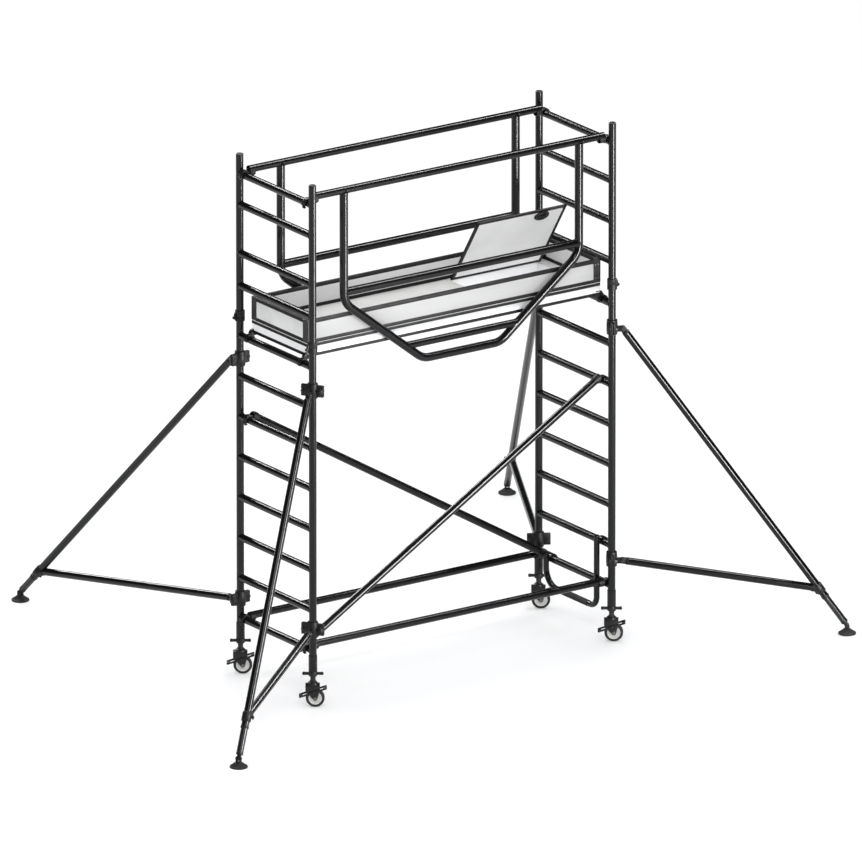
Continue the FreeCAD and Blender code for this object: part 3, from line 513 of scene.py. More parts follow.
# %% Make the four frames
WALL = 0.002
RUNG_R = TUBE_R - 0.0002
FLUTES = 20
FLUTE_DEPTH = 0.0004
SLEEVE_TOP = rung_z(0) - TUBE_R - 0.006
SLEEVE_R = TUBE_R + 0.0036
SPIGOT_R = TUBE_R - 0.0023
SPIGOT_HALF = 0.15
UPPER_RUNG_RISES = {"left": (0.208, 0.432, 0.768, TOP_RUNG_RISE), "right": (0.156, 0.436, 0.716, TOP_RUNG_RISE)}


def ladder(side_corners, low, high, rung_heights):
    front, rear = (post[corner] for corner in side_corners)
    parts = []
    for foot in (front, rear):
        parts.append(tube(at_height(foot, low), at_height(foot, high), TUBE_R, WALL, sides=40))
    across = (rear - front).normalized()
    for height in rung_heights:
        start = at_height(front, height)
        end = at_height(rear, height)
        inset = across * (TUBE_R * 0.55)
        parts.append(tube(start + inset, end - inset, RUNG_R, sides=FLUTES * 6, flutes=FLUTES, depth=FLUTE_DEPTH))
        parts.append(weld(start, UP, across, TUBE_R, RUNG_R))
        parts.append(weld(end, UP, -across, TUBE_R, RUNG_R))
    return parts


def foot_sleeves(side_corners):
    parts = []
    for corner in side_corners:
        low = at_height(post[corner], POST_BOTTOM)
        height = SLEEVE_TOP - POST_BOTTOM
        ease = 0.0015
        parts.append(lathe([(TUBE_R, 0), (SLEEVE_R - ease, 0), (SLEEVE_R, ease), (SLEEVE_R, height - ease),
                            (SLEEVE_R - ease, height), (TUBE_R, height)], low, UP))
        pin_z = (POST_BOTTOM + SLEEVE_TOP) / 2
        reach = Vector((0.0, SLEEVE_R + 0.002, 0))
        pin = at_height(post[corner], pin_z)
        for way in (-1, 1):
            head = [(0.0, 0.0035), (0.005, 0.0032), (0.008, 0.0015), (0.0085, 0.0), (0.0085, -0.003)]
            parts.append(lathe(head, pin + reach * way - Vector((0, 0.002, 0)) * way, (0, way, 0), sides=20))
        parts.append(tube(at_height(post[corner], BASE_TOP - SPIGOT_HALF),
                          at_height(post[corner], BASE_TOP + SPIGOT_HALF), SPIGOT_R, 0.003))
    return parts


sides = {"left": ("lf", "lb"), "right": ("rf", "rb")}
for side, corners in sides.items():
    base_rungs = [rung_z(index) for index in range(BASE_RUNGS)]
    base = ladder(corners, POST_BOTTOM, BASE_TOP - 0.0005, base_rungs) + foot_sleeves(corners)
    piece("base_frame_tubes_" + side, base, black_coat, "root", ["base_frame_" + side])
    upper = ladder(corners, BASE_TOP, POST_TOP, [BASE_TOP + rise for rise in UPPER_RUNG_RISES[side]])
    piece("upper_frame_tubes_" + side, upper, black_coat, "root", ["upper_frame_" + side])
print("frames made, with", 2 * (BASE_RUNGS + len(UPPER_RUNG_RISES["left"])), "rungs")

# %% [markdown]
# ## Caps and joint clips
# The post tops are closed by pressed-in plastic caps, turned here with a soft dome. At each joint between the
# lifts a split collar with a small over-centre lever keeps the upper frame from lifting off.

# %% Make caps and clips
CAP_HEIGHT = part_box("post_caps")[1].z - POST_TOP
clip_low, clip_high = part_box("frame_joint_clips")
CLIP_R = TUBE_R + 0.008
CLIP_EASE = 0.002
caps, clips = [], []
for corner in CORNERS:
    dome = [(TUBE_R * 0.9, 0), (TUBE_R, 0.001), (TUBE_R, CAP_HEIGHT * 0.3)]
    dome += [(TUBE_R - CAP_HEIGHT * 0.7 + x, z + CAP_HEIGHT * 0.3)
             for x, z in arc((0, 0), CAP_HEIGHT * 0.7, 0, 90, 8)] + [(0, CAP_HEIGHT)]
    caps.append(lathe(dome, at_height(post[corner], POST_TOP), UP))
    caps.append(lathe([(SPIGOT_R, 0), (SPIGOT_R, -0.028), (SPIGOT_R - 0.003, -0.030), (0, -0.030)],
                      at_height(post[corner], POST_TOP), UP))
    height = clip_high.z - clip_low.z
    collar = [(TUBE_R + 0.0002, 0), (CLIP_R - CLIP_EASE, 0), (CLIP_R, CLIP_EASE), (CLIP_R, height * 0.44),
              (CLIP_R - 0.001, height * 0.46), (CLIP_R - 0.001, height * 0.54), (CLIP_R, height * 0.56),
              (CLIP_R, height - CLIP_EASE), (CLIP_R - CLIP_EASE, height), (TUBE_R + 0.0002, height)]
    clips.append(lathe(collar, at_height(post[corner], clip_low.z), UP))
    outward = -1 if corner[0] == "l" else 1
    hook = [(0.028, -0.018), (0.040, -0.0245)] + arc((0.0465, -0.010), 0.0105, -60, 90, 6)
    hook += [(0.043, 0.012), (0.040, 0.0245), (0.028, 0.0245)]
    lever = eased(plate([(x * outward, z) for x, z in hook], -0.008, 0.008), 0.0015)
    clips.append(shifted(lever, at_height(post[corner], (clip_low.z + clip_high.z) / 2)))
    rivet = at_height(post[corner], clip_low.z + height * 0.72)
    for way in (-1, 1):
        clips.append(lathe([(0, 0.003), (0.004, 0.0025), (0.006, 0)], rivet + Vector((0, way * CLIP_R, 0)),
                           (0, way, 0), sides=16))
piece("caps_domed", caps, black_plastic, "root", ["post_caps"])
piece("joint_clips_levered", clips, cast_black, "root", ["frame_joint_clips"])
print("caps and clips:", len(CORNERS), "each")

# %% [markdown]
# ## Claws
# Braces and rails end in cast claws that drop over a rung. A claw is a hook with a thick back, a socket that
# holds the tube, and a small spring catch that closes its mouth from below. The hook's outline is drawn once, as
# arcs about the rung's axis, and each claw is that outline turned to face its tube.

# %% Draw a claw
CLAW_R = TUBE_R + 0.0114
CLAW_BORE = TUBE_R + 0.0004
CLAW_HALF = 0.019
SOCKET_R = TUBE_R + 0.0042
SOCKET_START = 0.027
SOCKET_END = 0.074


def jaw(lip_end, bore_start, bore_end, half, ease, steps=22):
    """A hook's plate, cut from two arcs about the rung: its back, and the bore that sits on the rung."""
    outline = arc((0, 0), CLAW_R, -22, lip_end, steps) + arc((0, 0), CLAW_BORE, bore_start, bore_end, steps)
    return eased(plate(outline, -half, half), ease)


def claw(rung, toward, slope=None, rise=0.0):
    """A hook round a rung whose tube leaves toward +X or -X, or along a slope."""
    hook = jaw(196, 190, -8, CLAW_HALF, 0.0022)
    lip = [(-CLAW_BORE - 0.002, -0.002), (-CLAW_R - 0.004, -0.006), (-CLAW_R - 0.002, -0.026),
           (-CLAW_R + 0.008, -0.034), (-CLAW_R + 0.022, -0.031), (-CLAW_BORE + 0.012, -0.0275),
           (-CLAW_BORE - 0.001, -0.016)]
    catch = eased(plate(lip, -0.006, 0.006), 0.0012)
    pivot = tube((-CLAW_R + 0.003, -CLAW_HALF - 0.003, -0.010), (-CLAW_R + 0.003, CLAW_HALF + 0.003, -0.010),
                 0.0035, sides=12)
    parts = [hook, catch, pivot]
    parts = [turned(180, "Z", part) if toward < 0 else part for part in parts]
    line = Vector(slope) if slope else Vector((toward, 0, 0))
    line.normalize()
    start = Vector((0, 0, rise)) + line * SOCKET_START
    end = Vector((0, 0, rise)) + line * SOCKET_END
    profile = [(SOCKET_R * 0.7, 0), (SOCKET_R, 0.006), (SOCKET_R, SOCKET_END - SOCKET_START - 0.012),
               (SOCKET_R - 0.0015, SOCKET_END - SOCKET_START - 0.002), (TUBE_R, SOCKET_END - SOCKET_START)]
    parts.append(lathe(profile, start, line))
    screw = (start + end) / 2
    for way in (-1, 1):
        parts.append(lathe([(0, 0.0035), (0.0045, 0.003), (0.0065, 0)], screw + Vector((0, way * SOCKET_R, 0)),
                           (0, way, 0), sides=16))
    return [shifted(part, rung) for part in parts]


print("a claw is", CLAW_HALF * 2, "m wide")

# %% Hang the braces
half_bay = (post["rf"].x - post["lf"].x) / 2
tower = (post["lf"] + post["rb"]) / 2
TO_TOWER = Matrix.Translation((tower.x, tower.y, 0))
rail_low, rail_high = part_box("guardrail_back")
CLAW_Y = (rail_low.y + rail_high.y) / 2 - tower.y
DIAGONAL_Y = CLAW_Y - 0.047
LEVEL_RISE = 0.021
DIAGONAL_LOW_RISE = 0.012
DIAGONAL_HIGH_RISE = 0.046
DIAGONAL_TOP_RUNG = 5
RAIL_RISE = 0.036


def on_rung(end, across, index, rise=0.0):
    """A point on a rung: end is -1 for the left frame and 1 for the right."""
    return Vector((tower.x + end * half_bay, tower.y + across, rung_z(index) + rise))


brace_tubes, claws = [], []
for face in (-1, 1):
    y = face * CLAW_Y
    left, right = on_rung(-1, y, 0, LEVEL_RISE), on_rung(1, y, 0, LEVEL_RISE)
    inward = Vector((SOCKET_START + 0.004, 0, 0))
    brace_tubes.append(tube(left + inward, right - inward, TUBE_R, WALL))
    for end in (-1, 1):
        claws += claw(on_rung(end, y, 0), -end, rise=LEVEL_RISE * 0.6)
        claws += claw(on_rung(end, y, TOP_RUNG), -end, rise=RAIL_RISE * 0.5)
    y = face * DIAGONAL_Y
    foot = on_rung(face, y, 0, DIAGONAL_LOW_RISE)
    head = on_rung(-face, y, DIAGONAL_TOP_RUNG, DIAGONAL_HIGH_RISE)
    line = (head - foot).normalized()
    brace_tubes.append(tube(foot + line * SOCKET_START, head - line * SOCKET_START, TUBE_R, WALL))
    claws += claw(on_rung(face, y, 0), -face, slope=line, rise=DIAGONAL_LOW_RISE)
    claws += claw(on_rung(-face, y, DIAGONAL_TOP_RUNG), face, slope=-line, rise=DIAGONAL_HIGH_RISE)
piece("brace_tubes", brace_tubes, black_coat, "root", ["braces"])
piece("claws_cast", claws, cast_black, "root", ["brace_claws"])
print("braces:", len(brace_tubes))

# %% [markdown]
# ## Guardrail frames
# Each guardrail is one welded frame: a straight top rail, and a hoop of larger tube that comes down beside the
# deck and sweeps in below it, so the frame can be hooked on from the lift below. The hoop's path is straight runs
# joined by arcs, so that one sweep gives true tube bends with no kinks.

# %% Make the guardrails
HOOP_HALF_TOP = 0.943
HOOP_HALF_BOTTOM = 0.310
HOOP_SHOULDER_Z = 2.727
HOOP_BEND = 0.150
MID_RAIL_Z = 2.800
LOW_BAR_RISE = 0.112


def rounded(points, bends, steps=14):
    """The same line of points with its corners replaced by arcs."""
    path = [Vector(points[0])]
    for before, corner, after, bend in zip(points, points[1:], points[2:], bends):
        into = (Vector(corner) - Vector(before)).normalized()
        away = (Vector(after) - Vector(corner)).normalized()
        turn = into.angle(away)
        start = Vector(corner) - into * bend * math.tan(turn / 2)
        axis = into.cross(away).normalized()
        centre = start + axis.cross(into) * bend
        for step in range(steps + 1):
            path.append(centre + Matrix.Rotation(turn * step / steps, 3, axis) @ (start - centre))
    return path + [Vector(points[-1])]


for face, name in ((-1, "front"), (1, "back")):
    low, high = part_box("guardrail_" + name)
    hoop_r = (high.y - low.y) / 2
    y = (low.y + high.y) / 2
    bottom_z = low.z + hoop_r
    rail_z = high.z - TUBE_R
    centre_x = tower.x + 0.030
    left_x, right_x = centre_x - HOOP_HALF_TOP, centre_x + HOOP_HALF_TOP
    corners = [Vector((left_x, y, rail_z - TUBE_R * 0.6)), Vector((left_x, y, HOOP_SHOULDER_Z)),
               Vector((centre_x - HOOP_HALF_BOTTOM, y, bottom_z)),
               Vector((centre_x + HOOP_HALF_BOTTOM, y, bottom_z)),
               Vector((right_x, y, HOOP_SHOULDER_Z)), Vector((right_x, y, rail_z - TUBE_R * 0.6))]
    share = LOW_BAR_RISE / (HOOP_SHOULDER_Z - bottom_z)
    bar_half = HOOP_HALF_BOTTOM + (HOOP_HALF_TOP - HOOP_HALF_BOTTOM) * share
    bar_z = bottom_z + LOW_BAR_RISE
    inset = Vector((SOCKET_START + 0.004, 0, 0))
    parts = [
        tube(on_rung(-1, y - tower.y, TOP_RUNG, RAIL_RISE) + inset,
             on_rung(1, y - tower.y, TOP_RUNG, RAIL_RISE) - inset, TUBE_R, WALL, sides=40),
        sweep(rounded(corners, [HOOP_BEND] * 4), hoop_r, sides=40),
        tube((left_x + hoop_r * 0.4, y, MID_RAIL_Z), (right_x - hoop_r * 0.4, y, MID_RAIL_Z), hoop_r * 0.995,
             sides=40),
        tube((centre_x - bar_half + 0.012, y, bar_z), (centre_x + bar_half - 0.012, y, bar_z), TUBE_R, sides=40),
    ]
    for x, way in ((left_x, 1), (right_x, -1)):
        parts.append(weld((x, y, rail_z), (1, 0, 0), (0, 0, -1), TUBE_R, hoop_r * 0.99))
        parts.append(weld((x, y, MID_RAIL_Z), UP, (way, 0, 0), hoop_r, hoop_r * 0.995))
        end = Vector((centre_x - bar_half * way, y, bar_z))
        slope = Vector(((HOOP_HALF_TOP - HOOP_HALF_BOTTOM) * -way, 0, HOOP_SHOULDER_Z - bottom_z))
        parts.append(weld(end, slope, (way, 0, 0), hoop_r, TUBE_R))
    piece("guardrail_welded_" + name, parts, black_coat, "root", ["guardrail_" + name])
    print(name, "guardrail at", round(rail_z, 3), "m")

# %% [markdown]
# ## Access step
# A bent bow hangs inside the right frame from two rungs, and its low round bend is the first step up from the
# floor. It is swept like the hoops, with a fluted rubber grip over its tread and a hook at each end.

# %% Make the access step
STEP_R = 0.020
STEP_FRONT_BEND = 0.070
STEP_BACK_BEND = 0.120
STEP_TOP_RISE = 0.052
step_low, step_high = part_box("access_step")
step_x = tower.x + half_bay - TUBE_R - 0.0005 - STEP_R
front_y = step_low.y + STEP_R
back_y = step_high.y - STEP_R
tread_z = step_low.z + STEP_R
corners = [Vector((step_x, front_y, rung_z(1) + STEP_TOP_RISE - 0.008)), Vector((step_x, front_y, tread_z)),
           Vector((step_x, back_y, tread_z)), Vector((step_x, back_y, rung_z(0) + STEP_TOP_RISE - 0.008))]
bow = sweep(rounded(corners, [STEP_FRONT_BEND, STEP_BACK_BEND]), STEP_R, sides=32)
tips = [lathe([(STEP_R, 0), (STEP_R * 0.9, 0.005), (STEP_R * 0.5, 0.0078), (0, 0.008)], corner, UP, sides=32)
        for corner in (corners[0], corners[-1])]
hooks = []
for y, index in ((front_y, 1), (back_y, 0)):
    hooks.append(shifted(jaw(188, 188, -8, CLAW_HALF, 0.002, steps=20), on_rung(1, y - tower.y, index)))
piece("access_step_bow", [bow] + tips + hooks, black_coat, "root", ["access_step"])
grip_start = Vector((step_x, front_y + STEP_FRONT_BEND + 0.02, tread_z))
grip_end = Vector((step_x, back_y - STEP_BACK_BEND - 0.02, tread_z))
piece("access_step_grip", [tube(grip_start, grip_end, STEP_R + 0.002, sides=96, flutes=16, depth=0.0016)],
      foot_rubber, "root")
print("step tread", round((grip_end - grip_start).length, 3), "m long")

# %% [markdown]
# ## Platform frame
# The deck is carried by two extruded side beams with a groove and lips along them, tied by cross members. Its
# cast hooks sit on the eighth rung of each frame. The beam's section is drawn once, across the beam, and pushed
# along.

# %% Make the platform frame
deck_low, deck_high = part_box("deck_panel")
half_length = (deck_high.x - deck_low.x) / 2
half_width = (deck_high.y - deck_low.y) / 2
DECK_THICKNESS = 0.012
deck_z = deck_low.z
deck_top = deck_z + DECK_THICKNESS
BEAM_WIDTH = 0.030
BEAM_HEIGHT = 0.080
beam_z = deck_z - BEAM_HEIGHT
HATCH = {"x0": 0.380, "x1": 1.110, "y0": -0.290, "y1": 0.285}
HATCH_GAP = 0.004


def on_deck(x, y, z):
    return Vector((tower.x + x, tower.y + y, z))


def beam(start, end, outward):
    """A side or end beam with a groove and two lips on its outer face."""
    groove = [(-0.5, 0.0), (0.5, 0.0), (0.5, 0.012), (0.44, 0.014), (0.44, 0.022), (0.38, 0.026), (0.38, 0.054),
              (0.44, 0.058), (0.44, 0.066), (0.5, 0.068), (0.5, BEAM_HEIGHT), (-0.5, BEAM_HEIGHT)]
    length = (end - start).length
    section = [(across * BEAM_WIDTH, z) for across, z in groove]
    part = eased(plate(section, 0, length), 0.0009, steps=1)
    along = (end - start).normalized()
    matrix = Matrix((Vector(outward), along, UP)).transposed().to_4x4()
    matrix.translation = start
    return moved(matrix, part)


beam_parts, hook_parts = [], []
edge = half_width - BEAM_WIDTH / 2
end_x = half_length - BEAM_WIDTH / 2
for face in (-1, 1):
    beam_parts.append(beam(on_deck(-half_length, face * edge, beam_z), on_deck(half_length, face * edge, beam_z),
                           (0, face, 0)))
    for end in (-1, 1):
        hook = jaw(202, 190, -10, 0.017, 0.002)
        tongue = [(0.060, 0.030), (0.034, 0.024), (0.006, 0.034), (-0.004, 0.044), (0.012, 0.066), (0.060, 0.074)]
        web = eased(plate(tongue, -0.012, 0.012), 0.002)
        place = on_rung(end, face * edge, BASE_RUNGS - 1)
        for part in (hook, web):
            hook_parts.append(shifted(turned(180, "Z", part) if end > 0 else part, place))
for end in (-1, 1):
    beam_parts.append(beam(on_deck(end * end_x, -half_width + BEAM_WIDTH, beam_z),
                           on_deck(end * end_x, half_width - BEAM_WIDTH, beam_z), (end, 0, 0)))
TRIM = 0.040
ledge = HATCH_GAP + TRIM / 6
for x in (-half_length / 2, -TRIM / 2, HATCH["x0"] + ledge - TRIM, HATCH["x1"] - ledge):
    x_end = min(x + TRIM, half_length - BEAM_WIDTH)
    bar = slab((x, -half_width + BEAM_WIDTH, deck_z - TRIM), (x_end, half_width - BEAM_WIDTH, deck_z - 0.0002),
               0.002)
    beam_parts.append(moved(TO_TOWER, bar))
piece("platform_beams", beam_parts, pale_aluminium, "root", ["platform_frame"])
piece("platform_hooks", hook_parts, cast_black, "root")
lip_parts = []
LIP = 0.021
LIP_EASE = 0.0012
for face in (-1, 1):
    for z in (beam_z, deck_z - LIP * 0.6):
        lip_parts.append(slab((-half_length, face * (half_width - 0.004), z),
                              (half_length, face * (half_width + 0.0015), z + LIP), LIP_EASE))
for end in (-1, 1):
    for z in (beam_z, deck_z - LIP * 0.6):
        lip_parts.append(slab((end * (half_length - 0.004), -half_width + 0.003, z),
                              (end * (half_length + 0.0012), half_width - 0.003, z + LIP), LIP_EASE))
piece("platform_edge_strips", placed(TO_TOWER, lip_parts), edge_trim, "root")
print("platform beams:", len(beam_parts))

# %% [markdown]
# ## Deck and trapdoor
# The deck is coated plywood. Its top carries the raised net that such boards are pressed with, which comes from a
# pattern of two crossed waves in the bump, while the edges stay plain. The trapdoor is the same board with a
# black edge profile, and it stands open, so its pale underside shows.

# %% Make the deck finish

def net_board(name, dark, light, relief_strength):
    material = finish(name, dark, light, (0.42, 0.58), 380, 0.05, patch=5.0)
    tree = material.node_tree
    shader = tree.nodes["Principled BSDF"]
    old = shader.inputs["Normal"].links[0].from_node
    where = tree.nodes.new("ShaderNodeTexCoord")
    waves = []
    for turn in (45, -45):
        mapping = node(tree, "ShaderNodeMapping", Rotation=(0, 0, math.radians(turn)))
        wave = node(tree, "ShaderNodeTexWave", Scale=38.0)
        tree.links.new(where.outputs["Object"], mapping.inputs["Vector"])
        tree.links.new(mapping.outputs["Vector"], wave.inputs["Vector"])
        waves.append(wave.outputs["Fac"])
    both = tree.nodes.new("ShaderNodeMath")
    both.operation = "MAXIMUM"
    tree.links.new(waves[0], both.inputs[0])
    tree.links.new(waves[1], both.inputs[1])
    net = node(tree, "ShaderNodeBump", Strength=relief_strength, Distance=0.0006)
    tree.links.new(both.outputs[0], net.inputs["Height"])
    tree.links.new(old.outputs["Normal"], net.inputs["Normal"])
    tree.links.new(net.outputs["Normal"], shader.inputs["Normal"])
    return material


deck_board = net_board("netted_deck_board", (0.70, 0.70, 0.68), (0.80, 0.80, 0.785), 0.5)
hatch_board = net_board("netted_hatch_board", (0.80, 0.80, 0.79), (0.88, 0.88, 0.875), 0.3)
print("boards:", deck_board.name, "and", hatch_board.name)

# %% Make the deck, its hinges and the trapdoor
HINGE_Z = deck_top + 0.0075
HINGE_Y = HATCH["y1"] - HATCH_GAP / 2
HINGE_LENGTH = 0.090
PIN_R = 0.004
KNUCKLE_R = 0.007
LEAF = 0.002
hinge_line = Vector(joints["trapdoor_hinge"]["pos_m"])
OPEN_DEG = -joints["trapdoor_hinge"]["range_deg"][0]
swing = (Matrix.Translation(hinge_line) @ Matrix.Rotation(math.radians(-OPEN_DEG), 4, "X")
         @ Matrix.Translation(-hinge_line))
strips = [(-half_length, HATCH["x0"], -half_width, half_width),
          (HATCH["x1"], half_length, -half_width, half_width),
          (HATCH["x0"], HATCH["x1"], -half_width, HATCH["y0"]),
          (HATCH["x0"], HATCH["x1"], HATCH["y1"], half_width)]
boards = [brick((x0, y0, deck_z), (x1, y1, deck_top)) for x0, x1, y0, y1 in strips]
piece("deck_boards", placed(TO_TOWER, boards), deck_board, "root", ["deck_panel"])

fixed, moving = [], []
for x in (HATCH["x0"] + HINGE_LENGTH, HATCH["x1"] - 2 * HINGE_LENGTH):
    third = HINGE_LENGTH / 3
    fixed.append(tube(on_deck(x, HINGE_Y, HINGE_Z), on_deck(x + HINGE_LENGTH, HINGE_Y, HINGE_Z), PIN_R, sides=20))
    for start in (x, x + 2 * third):
        fixed.append(tube(on_deck(start, HINGE_Y, HINGE_Z), on_deck(start + third, HINGE_Y, HINGE_Z),
                          KNUCKLE_R, KNUCKLE_R - PIN_R, sides=28))
        leaf = slab((start, HINGE_Y, deck_top), (start + third, half_width - 0.021, deck_top + LEAF), 0.0006, 1)
        fixed.append(moved(TO_TOWER, leaf))
    eye = x + third + 0.0003
    length = third - 0.0006
    moving.append(tube(on_deck(eye, HINGE_Y, HINGE_Z), on_deck(eye + length, HINGE_Y, HINGE_Z),
                       KNUCKLE_R, KNUCKLE_R - PIN_R - 0.00008, sides=28))
    leaf = slab((eye, HATCH["y1"] - HATCH_GAP - HINGE_LENGTH / 2, deck_top),
                (eye + length, HINGE_Y - KNUCKLE_R * 0.5, deck_top + LEAF), 0.0006, 1)
    moving.append(moved(TO_TOWER, leaf))
piece("trapdoor_hinges_fixed", fixed, bolt_steel, "root")
piece("trapdoor_hinges_moving", placed(swing, moving), bolt_steel, "hatch")

panel_x0, panel_x1 = HATCH["x0"] + HATCH_GAP, HATCH["x1"] - HATCH_GAP
panel_y0, panel_y1 = HATCH["y0"] + HATCH_GAP, HATCH["y1"] - HATCH_GAP
panel_z = deck_z + 0.0005
TRIM_WIDTH = 0.024
sunk = TRIM_WIDTH * 0.6
inner = slab((panel_x0 + sunk, panel_y0 + sunk, panel_z + 0.0006),
             (panel_x1 - sunk, panel_y1 - sunk, deck_top - 0.0006), 0.0006, 1)
rims = [(panel_x0, panel_x1, panel_y0, panel_y0 + TRIM_WIDTH),
        (panel_x0, panel_x1, panel_y1 - TRIM_WIDTH, panel_y1),
        (panel_x0, panel_x0 + TRIM_WIDTH, panel_y0, panel_y1),
        (panel_x1 - TRIM_WIDTH, panel_x1, panel_y0, panel_y1)]
rim_parts = [slab((x0, y0, panel_z), (x1, y1, deck_top), 0.0012) for x0, x1, y0, y1 in rims]
piece("trapdoor_board", placed(swing, placed(TO_TOWER, [inner])), hatch_board, "hatch",
      ["trapdoor"])
piece("trapdoor_edging", placed(swing, placed(TO_TOWER, rim_parts)), edge_trim, "hatch")
print("trapdoor stands open by", OPEN_DEG, "degrees")

# %% [markdown]
# ## The trapdoor's turn latch
# An oval cup of moulded plastic below the board turns a shaft and a knob on top. It is a lathe shape squeezed to
# an oval: the rim stands up, the middle is dished, and a bar across the dish is what the fingers turn.

# %% Make the latch
LATCH_X = 0.917
LATCH_Y = panel_y0 + 0.055
LATCH_LENGTH = 0.115
LATCH_WIDTH = 0.080
LATCH_DEPTH = 0.012
under = panel_z - 0.0004
oval = Matrix.Diagonal((LATCH_LENGTH / LATCH_WIDTH, 1, 1, 1))
rim_r = LATCH_WIDTH / 2
cup = lathe([(0, 0), (rim_r, 0), (rim_r, LATCH_DEPTH * 0.5), (rim_r - 0.002, LATCH_DEPTH * 0.85),
             (rim_r - 0.004, LATCH_DEPTH), (rim_r - 0.008, LATCH_DEPTH), (rim_r - 0.011, LATCH_DEPTH * 0.7),
             (rim_r - 0.020, LATCH_DEPTH * 0.45), (0, LATCH_DEPTH * 0.4)], (0, 0, 0), (0, 0, -1), sides=56)
finger_bar = slab((-0.036, -0.007, -LATCH_DEPTH), (0.036, 0.007, -0.002), 0.003, 3)
shaft = tube((0, 0, -0.001), (0, 0, DECK_THICKNESS + 0.002), 0.008, sides=24)
knob = lathe([(0, 0.008), (0.012, 0.0078), (0.021, 0.006), (0.024, 0.003), (0.024, 0), (0, 0)],
             (0, 0, DECK_THICKNESS + 0.0003), UP)
latch_parts = [moved(oval, cup), finger_bar, shaft, knob]
in_panel = Matrix.Translation((LATCH_X, LATCH_Y, under))
piece("latch_oval", placed(swing, placed(TO_TOWER, placed(in_panel, latch_parts))), black_plastic,
      "latch", ["trapdoor_latch"])
print("latch", LATCH_LENGTH, "by", LATCH_WIDTH)

# %% [markdown]
# ## Toe boards
# Boards on edge round the deck stop tools from rolling off. They are painted light grey, edged top and bottom
# with a black strip, and held at the corners by black folded clips that wrap both boards and are screwed to them.

# %% Make the toe boards
toe_low, toe_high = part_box("toe_boards")
BOARD = 0.020
EDGE_STRIP = 0.025
BOARD_EASE = 0.0015
STRIP_PROUD = 0.0012
CLIP_WIDTH = 0.055
CLIP_SHEET = 0.0022
runs = [(-half_length, half_length, -half_width, -half_width + BOARD),
        (-half_length, half_length, half_width - BOARD, half_width),
        (-half_length, -half_length + BOARD, -half_width + BOARD, half_width - BOARD),
        (half_length - BOARD, half_length, -half_width + BOARD, half_width - BOARD)]
clip_low_z, clip_high_z = toe_low.z + 0.001, toe_high.z + 0.001
toe_parts, strip_parts, clip_parts, screw_parts = [], [], [], []
for x0, x1, y0, y1 in runs:
    toe_parts.append(slab((x0, y0, toe_low.z + 0.0005), (x1, y1, toe_high.z - 0.001), BOARD_EASE))
    for z0, z1 in ((toe_high.z - EDGE_STRIP, toe_high.z), (toe_low.z, toe_low.z + EDGE_STRIP)):
        strip_parts.append(slab((x0 - STRIP_PROUD, y0 - STRIP_PROUD, z0),
                                (x1 + STRIP_PROUD, y1 + STRIP_PROUD, z1),
                                BOARD_EASE))
for end in (-1, 1):
    for face in (-1, 1):
        for inside in (0, BOARD + CLIP_SHEET):
            clip_parts.append(slab(
                (end * (half_length - CLIP_WIDTH), face * (half_width - inside), clip_low_z),
                (end * (half_length + 0.001), face * (half_width + CLIP_SHEET - inside), clip_high_z), 0.0008, 1))
        for inside in (0, BOARD + CLIP_SHEET):
            clip_parts.append(slab(
                (end * (half_length - inside), face * (half_width - CLIP_WIDTH), clip_low_z),
                (end * (half_length + CLIP_SHEET - inside), face * (half_width + 0.001), clip_high_z), 0.0008, 1))
        for across in (0.018, 0.040):
            for z in (toe_low.z + 0.035, toe_high.z - 0.035):
                place = Vector((end * (half_length - across), face * (half_width + 0.002), z))
                screw_parts.append(lathe([(0.005, 0), (0.0048, 0.0015), (0.003, 0.0028), (0, 0.003)], place,
                                         (0, face, 0), sides=16))
for name, parts, material, slot, stands_for in (
        ("toe_boards_painted", toe_parts, board_grey, "toe_board", ["toe_boards"]),
        ("toe_board_edging", strip_parts, edge_trim, "black_plastic", ()),
        ("toe_board_clips", clip_parts, pressed_black, "fitting_steel", ()),
        ("toe_board_screws", screw_parts, bolt_steel, "fitting_steel", ())):
    piece(name, placed(TO_TOWER, parts), material, "root", stands_for)
print("toe boards:", len(toe_parts), "with", len(clip_parts), "clip leaves")

# %% [markdown]
# ## Castors
# A castor is drawn once, in its own frame: the fork's axis is Z, the wheel trails a little way along X, and the
# axle runs along Y. Four matrices then stand a copy under each post. The thread on the stem is a ridge swept
# along a helix, the tyre's tread is cut by its profile, and the hub has a web with ribs on both sides.

# %% Draw the wheel
WHEEL_R = 0.0625
TYRE_IN = 0.044
HALF_TYRE = 0.017
TRAIL = 0.015
HUB_OUT = 0.020
AXLE_R = 0.006
RIB_COUNT = 8
wheel_base = Vector((TRAIL, 0, WHEEL_R))
AXLE = Vector((0, 1, 0))


def mirrored(profile):
    return profile + [(radius, -along) for radius, along in reversed(profile)]


tyre_half = [(TYRE_IN, HALF_TYRE), (TYRE_IN + 0.006, HALF_TYRE), (TYRE_IN + 0.010, HALF_TYRE - 0.0006),
             (WHEEL_R - 0.0052, HALF_TYRE - 0.0012), (WHEEL_R - 0.0024, HALF_TYRE - 0.0036),
             (WHEEL_R - 0.0008, HALF_TYRE - 0.0066), (WHEEL_R, HALF_TYRE - 0.0088), (WHEEL_R, 0.0048),
             (WHEEL_R - 0.0016, 0.0044), (WHEEL_R - 0.0016, 0.0030), (WHEEL_R, 0.0026)]
tyre_ring = mirrored(tyre_half)
tyre = lathe(tyre_ring + [tyre_ring[0]], wheel_base, AXLE, sides=72)
hub_half = [(AXLE_R + 0.0001, HUB_OUT), (0.0135, HUB_OUT), (0.015, HUB_OUT - 0.0015), (0.0156, 0.008),
            (0.0175, 0.0062), (0.0355, 0.0062), (0.0375, 0.008), (0.0384, 0.0152), (0.0396, 0.016),
            (TYRE_IN, 0.016)]
